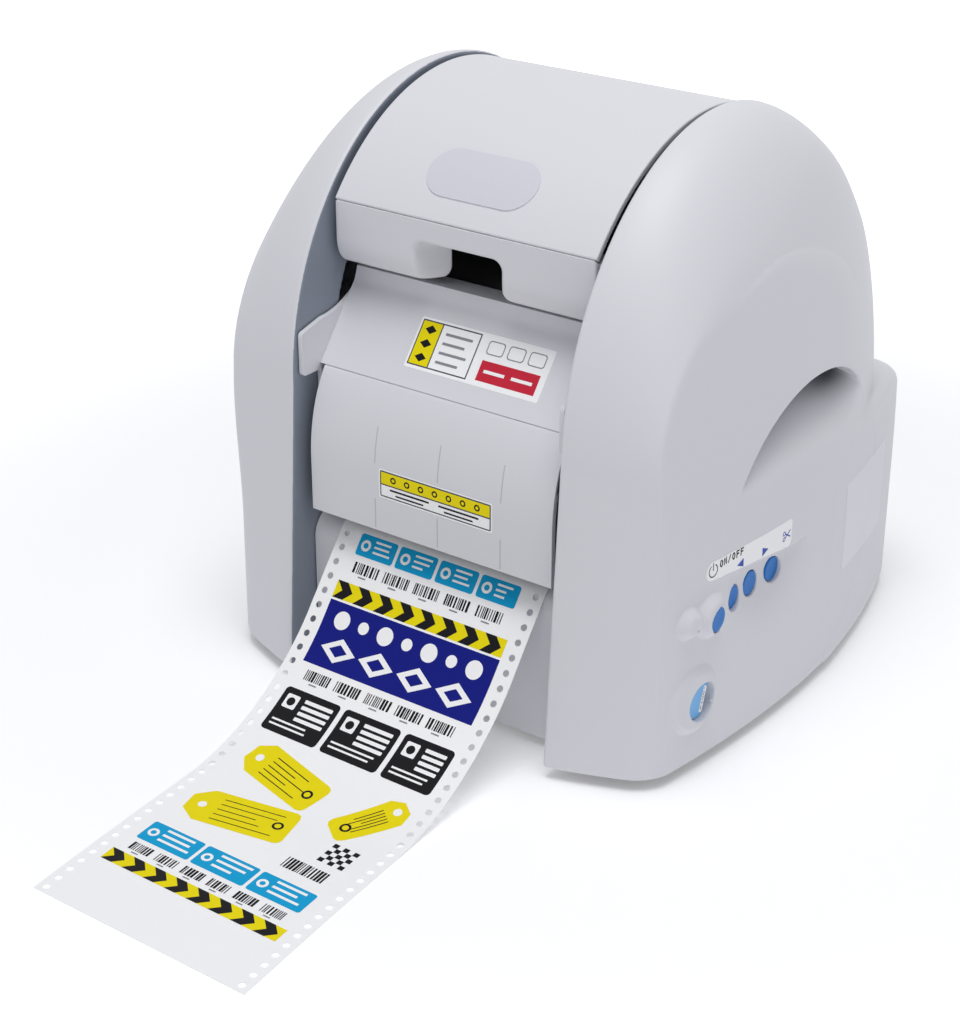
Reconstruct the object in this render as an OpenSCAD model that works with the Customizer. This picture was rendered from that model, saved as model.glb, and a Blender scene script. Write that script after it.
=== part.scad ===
// Desktop label printer and cutter with two rounded side covers, a hinged lid,
// a swing-up cutter cover and a printed label web that runs out onto the desk.
// Millimetres, +Z up, front towards -Y, origin on the desk under the housing.

/* [Housing] */
// Width over both side covers
body_w = 248; // [244:1:256]
// Depth from the front rims to the rear face
body_d = 258; // [256:1:266]
// Height of the crown above the desk
body_h = 263; // [260:1:270]
// Width of the channel between the two side covers
channel_w = 139; // [138:1:142]
// Wall thickness of the moulded covers
wall = 3; // [2.6:0.1:3.4]
// Height of the rubber feet
foot_h = 5; // [4:0.5:7]
// How far the side cover front sweeps back towards its outer corner
front_sweep = 16; // [12:1:20]
// Drop of the shoulder between the crown and the side panel
shoulder_drop = 39; // [34:1:44]

/* [Lid and front] */
// Side clearance between the lid and each side cover
lid_side_gap = 3; // [2.5:0.1:4]
// Depth of the lid's lower lip below the seam
lip_h = 26; // [23:0.5:28]
// Width of the finger notch in the lid lip
notch_w = 53; // [46:1:60]
// Setback of the cutter cover from the front rims
cover_setback = 13; // [11:0.5:14]

/* [Label stock] */
// Width of the label web
label_w = 110; // [106:1:111]
// Thickness of the label web
label_t = 0.3; // [0.25:0.01:0.35]
// Spacing of the sprocket holes
hole_pitch = 6.75; // [6.5:0.05:6.9]
// Outer radius of the label roll
roll_r = 42; // [38:0.5:43]
// How far the printed label reaches in front of the rims
label_reach = 184; // [150:1:210]
// Angle at which the label leaves the exit lip
exit_angle = 52; // [46:1:56]

/* [Mechanism] */
// Pins on each sprocket wheel
sprocket_pins = 10; // [10:1:10]
// Gear tooth module
gear_module = 1; // [0.96:0.01:1.02]
// Teeth on the platen gear
platen_teeth = 35; // [33:1:36]
// Teeth on the feed motor pinion
pinion_teeth = 14; // [13:1:15]
// Diameter of the cutter guide rods
rod_d = 6; // [5:0.5:7]
// Radial clearance of shafts in their holes
run_gap = 0.05; // [0.03:0.01:0.08]

/* [Controls] */
// Diameter of the push buttons
button_d = 11; // [10:0.5:12]
// Diameter of the numbered dial
dial_d = 17; // [15:0.5:18]
// Height of the button row above the desk
button_z = 71; // [69:0.5:74]

/* [Hidden] */
$fn = 64;
// Clearance between parts that move past each other
part_gap = 0.4;
// Overlap used when cutting through
cut = 1;

half_w = body_w / 2;
in_x = channel_w / 2;
front_y = -body_d / 2;
rear_y = body_d / 2;
base_z = foot_h;
crown_z = body_h;
crown_y = front_y + body_d * 0.469;
arch_z = base_z + (crown_z - base_z) * 0.523;
rear_arch_z = base_z + (crown_z - base_z) * 0.426;
rim_lean = 9;
crease_x = half_w - 11;
shoulder_bite = 0.93;
dome_rear = rear_y - 20;
dome_rear_sweep = 9;
barrel_front_r = 560;
barrel_rear_r = 370;
panel_z = base_z + 60;
panel_h = 160;
panel_lean = 11;
rim_flange = 26;
block_top = base_z + 107;
block_corner = 9;

// Side cover form: each section across X is an interval in Y at every height
function clamp01(v) = v < 0 ? 0 : v > 1 ? 1 : v;
function ell(t) = sqrt(max(0, 1 - t * t));
function band(x) = clamp01((x - in_x) / (crease_x - in_x));
function shoulder(u) = (1 - ell(shoulder_bite * u)) / (1 - ell(shoulder_bite));
function arch_top(x) = crown_z - shoulder_drop * shoulder(band(x));
function off_side(x) = max(0.02, half_w - x);
function panel_top(x) = panel_z + panel_h * sqrt(off_side(x) / panel_lean);
function section_top(x) = min(arch_top(x), panel_top(x));
function band_front(x) = front_y + front_sweep * pow(band(x), 1.2);
function band_lean(x) = rim_lean * (1 - 0.8 * band(x));
function arch_front(x, z) = z <= arch_z
  ? band_front(x) + band_lean(x) * (z - base_z) / (arch_z - base_z)
  : crown_y - (crown_y - band_front(x) - band_lean(x)) * ell((z - arch_z) / (arch_top(x) - arch_z));
function dome_back(x) = dome_rear - crown_y - dome_rear_sweep * pow(band(x), 2);
function arch_rear(x, z) = crown_y + dome_back(x)
  * (z <= rear_arch_z ? 1 : ell((z - rear_arch_z) / (arch_top(x) - rear_arch_z)));
function panel_fade(x, z) = z <= panel_z ? 1 : ell((z - panel_z) / (panel_top(x) - panel_z));
function panel_front(x, z) = crown_y - sqrt(2 * barrel_front_r * off_side(x)) * panel_fade(x, z);
function panel_rear(x, z) = crown_y + sqrt(2 * barrel_rear_r * off_side(x)) * panel_fade(x, z);
function front_at(x, z) = max(arch_front(x, z), panel_front(x, z));
function rear_at(x, z) = min(arch_rear(x, z), panel_rear(x, z));
function side_x(y) = half_w - pow(y - crown_y, 2) / (2 * (y < crown_y ? barrel_front_r : barrel_rear_r));

// One ring of points at x, drawn in by the given inset, from the bottom front over the top
function ring_z(x, inset, low, f) = low + (section_top(x + inset) - inset - low) * f;
function ring_front(x, inset, z) = min(front_at(x + inset, z + inset) + inset, crown_y);
function ring_rear(x, inset, z) = max(rear_at(x + inset, z + inset) - inset, crown_y);
function ring(x, inset, low, n) = concat(
  [for (i = [0:n]) let (z = ring_z(x, inset, low, sin(90 * i / n)))
    [x, i == n ? crown_y : ring_front(x, inset, z), z]],
  [for (i = [n - 1:-1:0]) let (z = ring_z(x, inset, low, sin(90 * i / n)))
    [x, ring_rear(x, inset, z), z]]);
function loft_faces(m, k) = concat(
  [[for (j = [k - 1:-1:0]) j]],
  [for (i = [0:m - 2]) for (j = [0:k - 1]) let (a = i * k, b = (i + 1) * k, q = (j + 1) % k)
    [a + j, a + q, b + j]],
  [for (i = [0:m - 2]) for (j = [0:k - 1]) let (a = i * k, b = (i + 1) * k, q = (j + 1) % k)
    [a + q, b + q, b + j]],
  [[for (j = [0:k - 1]) (m - 1) * k + j]]);

module loft(rings) {
  polyhedron(points = [for (r = rings) each r], faces = loft_faces(len(rings), len(rings[0])));
}

// Stations across the side cover, closer together at the crease and the outer panel
outer_stations = 18;
inner_stations = 9;
function station(i, n, last) = in_x + (last - in_x) * (1 - pow(1 - i / n, 1.6));

module dome_form() {
  loft([for (i = [0:outer_stations]) ring(station(i, outer_stations, half_w - 0.25), 0, base_z, 16)]);
}

// The dome drawn in a little, to bound what is moulded onto the inside of its wall
module dome_core() {
  loft([for (i = [0:inner_stations])
    ring(in_x + (half_w - 1.2 - in_x) * (1 - pow(1 - i / inner_stations, 1.6)), wall / 4, base_z + 0.5, 10)]);
}

module dome_cavity() {
  loft([for (i = [0:inner_stations])
    ring(in_x + wall + (half_w - 0.6 - in_x - 2 * wall) * (1 - pow(1 - i / inner_stations, 1.6)),
      wall, base_z - cut, 10)]);
}

// Low block behind the dome that carries the rear face round the corner
function block_rear(x) = min(rear_y - block_corner * (1 - ell(clamp01((x - block_x0) / block_corner))),
  crown_y + sqrt(2 * barrel_rear_r * off_side(x)));
block_x0 = half_w - 34;
block_x1 = half_w - 25.2;
block_y = rear_y - 60;
function block_ring(x, inset, low) = let (y = block_rear(x) - inset, t = block_top - inset)
  [[x, block_y, low], [x, block_y, t], [x, y - 6, t], [x, y - 1.8, t - 1.8], [x, y, t - 6], [x, y, low]];

module block_form() {
  loft(concat([block_ring(in_x, 0, base_z)],
    [for (i = [0:6]) block_ring(block_x0 + (block_x1 - block_x0) * sin(15 * i), 0, base_z)],
    [for (i = [1:5]) let (x = block_x1 + (half_w - 10 - block_x1) * i / 5)
      [for (p = block_ring(x, 0, base_z)) [p[0], min(p[1], max(p[1], block_y + 1)), p[2]]]]));
}

module block_cavity() {
  loft([for (x = [in_x + wall, block_x0, block_x1 - wall, half_w - 12 - wall])
    block_ring(x, wall, base_z - cut)]);
}

// Grip recess in the side panel: round upper edge and a floor that slopes out to the panel
grip_r = 72;
grip_y = crown_y + 7;
grip_top = base_z + 148;
grip_crest = base_z + 111;
grip_tilt = 21;

module grip_space(grow) {
  intersection() {
    translate([half_w - 40, grip_y, grip_top - grip_r])
      rotate([0, 90, 0])
        cylinder(r = grip_r + grow, h = 60, $fn = 96);
    translate([half_w, grip_y, grip_crest])
      rotate([0, -grip_tilt, 0])
        translate([-grow, -body_d / 2, -20])
          cube([60, body_d, 90]);
  }
}

// Control places on the right side panel
button_ys = [crown_y - 70.5, crown_y - 50.5, crown_y - 35, crown_y - 18];
lamp_y = crown_y - 83.5;
lamp_z = button_z + 2.5;
dial_y = crown_y - 76.5;
dial_z = base_z + 29;
dial_rest = 18;
button_r = button_d / 2;
button_hole_r = button_r + part_gap;
bezel_rise = 2.6;
dial_r = dial_d / 2;
dial_face_x = side_x(dial_y) - 2.5;
dial_pocket_r = dial_r + part_gap;
bowl_r = dial_r + 5.5;
bowl_depth = 3.2;
control_back_x = side_x(dial_y) - 7;
lamp_r = 2.2;

// Scoop below the legend: an ellipsoid sunk into the panel, cut off straight along its upper edge
scoop_y = crown_y - 34;
scoop_z = button_z + 7;
scoop_depth = 5;
scoop_axes = [20, 51, 39];
scoop_top = button_z + 10.5;
scoop_x = side_x(scoop_y) + scoop_axes[0] - scoop_depth;
function scoop_floor(y, z) = scoop_x - scoop_axes[0]
  * ell(min(1, norm([(y - scoop_y) / scoop_axes[1], (z - scoop_z) / scoop_axes[2]])));
function button_floor(y) = y == button_ys[0] ? side_x(y) + bezel_rise : min(side_x(y), scoop_floor(y, button_z));

module scoop_space(grow) {
  intersection() {
    translate([scoop_x, scoop_y, scoop_z])
      scale((scoop_axes[0] + grow) / scoop_axes[0])
        scale(scoop_axes)
          sphere(r = 1, $fn = 72);
    box(half_w - 20, half_w + 20, front_y, rear_y, base_z, scoop_top + grow);
  }
}

module dial_bowl() {
  sphere_r = (bowl_r * bowl_r + bowl_depth * bowl_depth) / (2 * bowl_depth);
  translate([side_x(dial_y) + sphere_r - bowl_depth, dial_y, dial_z])
    sphere(r = sphere_r, $fn = 96);
}

// Lid hinge, found from the rear end of the lid's arch
lid_half = in_x - lid_side_gap;
lid_inset = 1.5;
lid_front_a = crown_y - front_y - rim_lean - lid_inset;
lid_front_b = crown_z - arch_z - lid_inset;
lid_rear_a = dome_rear - crown_y - lid_inset;
lid_rear_b = crown_z - rear_arch_z - lid_inset;
lid_front_y = front_y + 37;
lid_start = acos((crown_y - lid_front_y) / lid_front_a);
lid_end = 28;
barrel_r = 10;
lid_end_n = [cos(lid_end) / lid_rear_a, sin(lid_end) / lid_rear_b];
lid_end_out = lid_end_n / norm(lid_end_n);
hinge_y = crown_y + lid_rear_a * cos(lid_end) - barrel_r * lid_end_out[0];
hinge_z = rear_arch_z + lid_rear_b * sin(lid_end) - barrel_r * lid_end_out[1];
pin_r = 4;
bush_r = 6.5;
seam_z = arch_z + lid_front_b * sin(lid_start);
lip_bottom = seam_z - lip_h;

function lid_point(t, inset) = t <= 90
  ? [crown_y - (lid_front_a - inset) * cos(t), arch_z + (lid_front_b - inset) * sin(t)]
  : [crown_y - (lid_rear_a - inset) * cos(t), rear_arch_z + (lid_rear_b - inset) * sin(t)];
function lid_arc(inset, n) = [for (i = [0:n]) lid_point(lid_start + (180 - lid_end - lid_start) * i / n, inset)];

// Cutter cover hinge and profile
cover_y = front_y + cover_setback;
cover_low = base_z + 78;
cover_half = in_x - 5.5;
cover_t = 2.5;
cover_end_t = 1.5;
cover_z = base_z + 103;
cover_a = 32;
cover_b = 52;
cover_end = 49;
cover_hinge_y = cover_y + 15;
cover_hinge_z = base_z + 136;
cover_pin_r = 2;
function cover_arc(inset, n) = [for (i = [0:n])
  [cover_y + cover_a - (cover_a - inset) * cos(cover_end * i / n),
   cover_z + (cover_b - inset) * sin(cover_end * i / n)]];
cover_edge = cover_arc(0, 8)[8];
cover_sweep_r = norm([cover_edge[0] - cover_hinge_y, cover_edge[1] - cover_hinge_z]);

// Sheet run
sheet_z = base_z + 72;
panel_face_y = front_y + 19.5;
lip_r = 11.7;
lip_y = panel_face_y + lip_r;
lip_z = sheet_z - lip_r - 0.3;
frame_x = label_w / 2 + 5;
frame_t = 2;
platen_r = sprocket_pins * hole_pitch / (2 * PI);
platen_y = front_y + 69;
platen_z = sheet_z - platen_r - 0.3;
guide_r = 6;
guide_y = platen_y + 38;
guide_z = sheet_z - guide_r - 0.3;
roll_y = front_y + 174;
roll_z = base_z + 83;
shaft_r = 4;

// Middle line of the label web, from the roll over the guide bar and platen to the desk
web_r1 = guide_r + 0.3 + label_t / 2;
web_r2 = roll_r + 0.4 + label_t / 2;
web_c = [roll_y - guide_y, roll_z - guide_z];
web_dir = atan2(web_c[1], web_c[0]) - asin((web_r1 + web_r2) / norm(web_c));
web_n = [cos(web_dir + 90), sin(web_dir + 90)];
web_top = sheet_z + label_t / 2;
web_bend_r = web_top - lip_z;
desk_z = label_t / 2 + 0.02;
bend_l = 100;
exit_y = lip_y - web_bend_r * sin(exit_angle);
exit_z = lip_z + web_bend_r * cos(exit_angle);
exit_rad = exit_angle * PI / 180;
bend_drop = bend_l * (1 - cos(exit_angle)) / exit_rad;
straight_l = (exit_z - desk_z - bend_drop) / sin(exit_angle);
bend_y = exit_y - straight_l * cos(exit_angle);
bend_z = exit_z - straight_l * sin(exit_angle);
function bend_point(f) = [bend_y - bend_l * (sin(exit_angle) - sin(exit_angle * (1 - f))) / exit_rad,
  bend_z - bend_l * (cos(exit_angle * (1 - f)) - cos(exit_angle)) / exit_rad];
web_line = concat(
  [[roll_y, roll_z] - web_r2 * web_n, [guide_y, guide_z] + web_r1 * web_n],
  [for (f = [0.66, 0.33, 0]) let (a = web_dir * f) [guide_y - web_r1 * sin(a), guide_z + web_r1 * cos(a)]],
  [for (i = [0:5]) let (a = exit_angle * i / 5) [lip_y - web_bend_r * sin(a), lip_z + web_bend_r * cos(a)]],
  [for (i = [0:14]) bend_point(i / 14)],
  [[front_y - label_reach, desk_z]]);

function seg_n(p, i) = let (d = p[min(i + 1, len(p) - 1)] - p[max(i - 1, 0)]) [-d[1], d[0]] / norm(d);
function strip(p, t) = concat(
  [for (i = [0:len(p) - 1]) p[i] + seg_n(p, i) * t / 2],
  [for (i = [len(p) - 1:-1:0]) p[i] - seg_n(p, i) * t / 2]);

// Print head, ribbon cassette and cutter places
pivot_y = platen_y + 68;
pivot_z = base_z + 117;
head_z = sheet_z + label_t + 0.8;
arm_x = frame_x - 13;
arm_t = 3;
takeup_y = platen_y + 18;
supply_y = platen_y + 72;
spool_z = base_z + 161;
spool_core_r = 8;
takeup_r = 13;
supply_r = 18;
case_r = 24;
case_x = frame_x - 5.5;
case_t = 2;
film_z = sheet_z + label_t + 0.4;
cut_y = front_y + 38;
rod_r = rod_d / 2;
rod_back = [cut_y + 10.5, base_z + 103];
rod_front = [cut_y - 10.5, base_z + 111];
carriage_w = 30;
beam_z = base_z + 125;
pulley_x = frame_x - 9;
pulley_r = 6;
motor_r = 7;
belt_t = 1;
belt_z = beam_z - 6;
blade_r = 6;
blade_rest = sheet_z + label_t + 1.3;

// Gear train on the right side
gear_x = frame_x + frame_t + 2;
gear_w = 4.5;
gear_c = gear_module * (platen_teeth + pinion_teeth) / 2;
gear_drop = 70;
motor_y = platen_y + gear_c * cos(gear_drop);
motor_z = platen_z - gear_c * sin(gear_drop);
motor_x = gear_x + gear_w + 1.5;
function inv_deg(rb, r) = let (a = acos(min(1, rb / r))) tan(a) * 180 / PI - a;
function tooth_half(t, r) = let (rp = gear_module * t / 2, rb = rp * cos(20))
  90 / t - 0.22 / rp * 180 / PI / 2 + inv_deg(rb, rp) - inv_deg(rb, max(r, rb));
function gear_radii(t) = let (rp = gear_module * t / 2)
  [rp - 1.2 * gear_module, rp - 0.4 * gear_module, rp, rp + 0.45 * gear_module, rp + 0.9 * gear_module];
function polar(r, a) = [r * cos(a), r * sin(a)];
function gear_points(t, turn) = [for (k = [0:t - 1]) let (c = 360 * k / t + turn, rs = gear_radii(t)) each concat(
  [for (r = rs) polar(r, c - tooth_half(t, r))],
  [for (i = [len(rs) - 1:-1:0]) polar(rs[i], c + tooth_half(t, rs[i]))])];

shell_c = [0.86, 0.86, 0.89];
dark_c = [0.30, 0.31, 0.36];
steel_c = [0.66, 0.67, 0.70];
black_c = [0.10, 0.10, 0.11];
blue_c = [0.16, 0.36, 0.68];

// Profile in the Y-Z plane drawn out along X between two stations
module along_x(x0, x1) {
  translate([x0, 0, 0])
    rotate([90, 0, 90])
      linear_extrude(height = x1 - x0)
        children();
}

module rod_x(r, x0, x1, y, z) {
  translate([x0, y, z])
    rotate([0, 90, 0])
      cylinder(r = r, h = x1 - x0);
}

module rod_y(r, y0, y1, x, z) {
  translate([x, y1, z])
    rotate([90, 0, 0])
      cylinder(r = r, h = y1 - y0);
}

module rod_z(r, z0, z1, x, y) {
  translate([x, y, z0])
    cylinder(r = r, h = z1 - z0);
}

module box(x0, x1, y0, y1, z0, z1) {
  translate([x0, y0, z0])
    cube([x1 - x0, y1 - y0, z1 - z0]);
}

// Underside

base_t = 3;
module base_outline(inset, z0, z1) {
  intersection() {
    box(-half_w + inset, half_w - inset, panel_face_y + inset - 0.6, rear_y - inset + 0.3, z0, z1);
    translate([half_w - barrel_front_r - inset, crown_y, 0])
      cylinder(r = barrel_front_r, h = body_h);
    translate([barrel_front_r + inset - half_w, crown_y, 0])
      cylinder(r = barrel_front_r, h = body_h);
    translate([half_w - barrel_rear_r - inset, crown_y - 1, 0])
      cylinder(r = barrel_rear_r, h = body_h);
    translate([barrel_rear_r + inset - half_w, crown_y - 1, 0])
      cylinder(r = barrel_rear_r, h = body_h);
    rotate([0, 0, 45])
      cube([body_d * 1.17 - inset, body_d * 1.17 - inset, 60], center = true);
  }
}

module base_plate() {
  color(dark_c)
    difference() {
      base_outline(wall + 0.8, base_z, base_z + base_t);
      for (i = [-3:3])
        box(i * 9 - 2, i * 9 + 2, crown_y + 20, crown_y + 60, base_z - cut, base_z + base_t + cut);
    }
}

foot_x = half_w - 34;
foot_front = front_y + 34;
foot_rear = rear_y - 38;
module rubber_feet() {
  color(black_c)
    for (x = [-foot_x, foot_x])
      for (y = [foot_front, foot_rear])
        translate([x, y, 0])
          rotate_extrude()
            polygon([[0, 0], [9.5, 0], [11, 1.5], [11.5, base_z], [0, base_z]]);
}

// Side covers

module side_shell() {
  difference() {
    union() {
      difference() {
        union() {
          dome_form();
          block_form();
        }
        dome_cavity();
        block_cavity();
        along_x(in_x - cut, in_x + wall + cut)
          polygon([for (p = ring(in_x, rim_flange, base_z - cut, 10)) [p[1], p[2]]]);
      }
      intersection() {
        dome_core();
        grip_space(wall - 0.5);
        box(in_x + 20, half_w, front_y, rear_y, base_z, crown_z);
      }
      for (z = [base_z + 40, base_z + 80])
        hull() {
          box(in_x + wall, in_x + wall + 12, front_y + 14, front_y + 18, z, z + 2);
          box(in_x, in_x + wall, front_y + 8, front_y + 24, z, z + 2);
        }
      intersection() {
        dome_core();
        rod_x(bush_r + 4, in_x, in_x + 9, hinge_y, hinge_z);
      }
    }
    grip_space(0);
    rod_x(bush_r + 0.2, in_x - cut, in_x + 12, hinge_y, hinge_z);
    base_outline(wall + 0.4, base_z - cut, base_z + base_t + 0.4);
  }
}

module control_bosses() {
  intersection() {
    dome_core();
    union() {
      hull()
        for (y = [button_ys[0], button_ys[3]])
          rod_x(button_r + 3.5, control_back_x, half_w, y, button_z);
      hull() {
        rod_x(bowl_r - 1, control_back_x - 1, half_w, dial_y, dial_z);
        rod_x(bowl_r - 2, control_back_x - 1, half_w, dial_y + 4, dial_z);
      }
      hull()
        for (y = [lamp_y, button_ys[0]])
          rod_x(6, control_back_x, half_w, y, lamp_z);
      scoop_space(wall);
    }
  }
}

module status_bezel() {
  hull() {
    rod_x(8.2, side_x(button_ys[0]) - 5, side_x(button_ys[0]) + bezel_rise - 1, button_ys[0], button_z);
    rod_x(7.4, side_x(button_ys[0]) - 5, side_x(button_ys[0]) + bezel_rise, button_ys[0], button_z);
  }
  hull() {
    rod_x(6, side_x(lamp_y) - 5, side_x(lamp_y) + bezel_rise - 1, lamp_y, lamp_z);
    rod_x(5.2, side_x(lamp_y) - 5, side_x(lamp_y) + bezel_rise, lamp_y, lamp_z);
  }
}

module cover_bosses() {
  for (p = [foot_front + 26, crown_y + 30, foot_rear - 24])
    hull() {
      rod_z(3.5, base_z + 3.4, base_z + 14, side_x(p) - wall - 5, p);
      rod_z(2.5, base_z + 3.4, base_z + 20, side_x(p) - wall - 1, p);
    }
}

module right_side_cover() {
  color(shell_c)
    difference() {
      union() {
        side_shell();
        control_bosses();
        status_bezel();
        cover_bosses();
      }
      for (y = button_ys)
        rod_x(button_hole_r, control_back_x - cut, half_w + 8, y, button_z);
      rod_x(lamp_r + 0.1, control_back_x - cut, half_w + 8, lamp_y, lamp_z);
      scoop_space(0);
      dial_bowl();
      rod_x(dial_pocket_r, dial_face_x - 1.6, half_w + 8, dial_y, dial_z);
      rod_x(3.4, control_back_x - 2 * cut, half_w, dial_y, dial_z);
    }
}

module left_side_cover() {
  color(shell_c)
    mirror([1, 0, 0])
      union() {
        side_shell();
        cover_bosses();
        for (z = [base_z + 30, base_z + 50, base_z + 70, base_z + 90])
          hull() {
            box(in_x + wall - 0.2, in_x + wall + 8, front_y + 14, front_y + 17, z, z + 1.6);
            box(in_x + 0.4, in_x + wall, front_y + 8, front_y + 20, z, z + 1.6);
          }
      }
}

module lid_bushings() {
  color(black_c)
    for (s = [-1, 1])
      difference() {
        union() {
          rod_x(bush_r, s > 0 ? in_x - 0.2 : -in_x - 8, s > 0 ? in_x + 8 : -in_x + 0.2, hinge_y, hinge_z);
          rod_x(bush_r + 1, s > 0 ? in_x - 1.2 : -in_x + 0.2, s > 0 ? in_x - 0.2 : -in_x + 1.2, hinge_y, hinge_z);
        }
        rod_x(pin_r + run_gap, -half_w, half_w, hinge_y, hinge_z);
      }
}

// Inner side frames

frame_low = base_z + 3;
frame_high = base_z + 143;
module frame_outline() {
  polygon([[lip_y + 4, frame_low], [lip_y + 4, sheet_z + 4], [rod_front[0] - 8, sheet_z + 8],
    [rod_front[0] - 8, rod_front[1] + 6], [cut_y + 7, beam_z + 2], [cut_y + 7, frame_high],
    [supply_y + 14, frame_high], [supply_y + 14, pivot_z + 2], [roll_y + 14, roll_z + 26],
    [roll_y + 46, roll_z + 8], [roll_y + 46, frame_low]]);
}

module side_frame(x0) {
  difference() {
    union() {
      along_x(x0, x0 + frame_t)
        frame_outline();
      for (y = [lip_y + 8, roll_y + 30])
        box(x0 > 0 ? x0 - 10 : x0, x0 > 0 ? x0 + frame_t : x0 + frame_t + 10, y, y + 12, frame_low, frame_low + 2);
    }
    rod_x(shaft_r + 1 + run_gap, x0 - cut, x0 + frame_t + cut, platen_y, platen_z);
    rod_x(shaft_r + run_gap, x0 - cut, x0 + frame_t + cut, pivot_y, pivot_z);
    for (p = [rod_back, rod_front])
      rod_x(rod_r + run_gap, x0 - cut, x0 + frame_t + cut, p[0], p[1]);
    rod_x(3 + run_gap, x0 - cut, x0 + frame_t + cut, guide_y, guide_z);
    rod_x(shaft_r + 1 + run_gap, x0 - cut, x0 + frame_t + cut, roll_y, roll_z);
    rod_x(14, x0 - cut, x0 + frame_t + cut, guide_y + 30, base_z + 24);
    rod_x(9, x0 - cut, x0 + frame_t + cut, motor_y, motor_z);
  }
}

module left_side_frame() {
  color(steel_c)
    side_frame(-frame_x - frame_t);
}

module right_side_frame() {
  color(steel_c)
    side_frame(frame_x);
}

// Rear

rear_half = in_x - 0.5;
rear_lip_z = hinge_z - 20;
function rear_arc(inset, n) = [for (i = [0:n]) let (z = block_top - inset + (rear_lip_z - block_top + inset) * i / n)
  [crown_y + (lid_rear_a - inset) * ell((z - rear_arch_z) / (lid_rear_b - inset)), z]];
inlet_x = 36;
inlet_z = base_z + 36;
usb_x = -34;
usb_z = base_z + 30;
module rear_cover() {
  seat = barrel_r + 1;
  color(shell_c)
    difference() {
      along_x(-rear_half, rear_half)
        polygon(concat(
          [[rear_y - wall, base_z], [rear_y, base_z], [rear_y, block_top - 6], [rear_y - 1.8, block_top - 1.8],
            [rear_y - 6, block_top]],
          rear_arc(0, 10),
          [[hinge_y + seat * cos(58), hinge_z - seat * sin(58)], [hinge_y + seat * cos(75), hinge_z - seat * sin(75) - 1.5]],
          [for (i = [10:-1:0]) rear_arc(wall, 10)[i]],
          [[rear_y - 6, block_top - wall], [rear_y - wall, block_top - 6]]));
      box(inlet_x - 14.2, inlet_x + 14.2, rear_y - wall - cut, rear_y + cut, inlet_z - 10.2, inlet_z + 10.2);
      box(usb_x - 6.2, usb_x + 6.2, rear_y - wall - cut, rear_y + cut, usb_z - 5.7, usb_z + 5.7);
      for (i = [0:6])
        box(-22 + i * 7, -18.5 + i * 7, rear_y - wall - cut, rear_y + cut, base_z + 62, base_z + 88);
      for (x = [-1, 1])
        for (z = [base_z + 12, base_z + 94])
          rod_y(1.6, rear_y - wall - cut, rear_y + cut, x * (rear_half - 8), z);
    }
}

module rear_screws() {
  color(steel_c)
    for (x = [-1, 1])
      for (z = [base_z + 12, base_z + 94])
        difference() {
          union() {
            rod_y(1.5, rear_y - wall - 6, rear_y, x * (rear_half - 8), z);
            rod_y(3, rear_y, rear_y + 1.4, x * (rear_half - 8), z);
          }
          box(x * (rear_half - 8) - 2, x * (rear_half - 8) + 2, rear_y + 0.7, rear_y + 2, z - 0.35, z + 0.35);
          box(x * (rear_half - 8) - 0.35, x * (rear_half - 8) + 0.35, rear_y + 0.7, rear_y + 2, z - 2, z + 2);
        }
}

module power_inlet() {
  color(black_c)
    union() {
      difference() {
        box(inlet_x - 14, inlet_x + 14, rear_y - 22, rear_y + 1, inlet_z - 10, inlet_z + 10);
        box(inlet_x - 12, inlet_x + 12, rear_y - 15, rear_y + 2, inlet_z - 8, inlet_z + 8);
      }
      for (p = [[-7, -2], [0, 2], [7, -2]])
        box(inlet_x + p[0] - 1, inlet_x + p[0] + 1, rear_y - 16, rear_y - 5, inlet_z + p[1] - 2, inlet_z + p[1] + 2);
    }
}

module usb_socket() {
  color(steel_c)
    union() {
      difference() {
        box(usb_x - 6, usb_x + 6, rear_y - 18, rear_y + 0.6, usb_z - 5.5, usb_z + 5.5);
        box(usb_x - 4.5, usb_x + 4.5, rear_y - 12, rear_y + 2, usb_z - 4, usb_z + 4);
      }
      box(usb_x - 2.8, usb_x + 2.8, rear_y - 13, rear_y - 5, usb_z - 1.6, usb_z + 1.6);
    }
}

// Front

module lower_front_panel() {
  color(shell_c)
    along_x(-in_x + 0.6, in_x - 0.6)
      union() {
        translate([panel_face_y, base_z])
          square([2.5, lip_z - base_z]);
        intersection() {
          difference() {
            translate([lip_y, lip_z])
              circle(r = lip_r);
            translate([lip_y, lip_z])
              circle(r = lip_r - 2.5);
          }
          translate([panel_face_y - 1, lip_z])
            square([lip_r + 1.2, lip_r + 1]);
        }
      }
}

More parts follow.
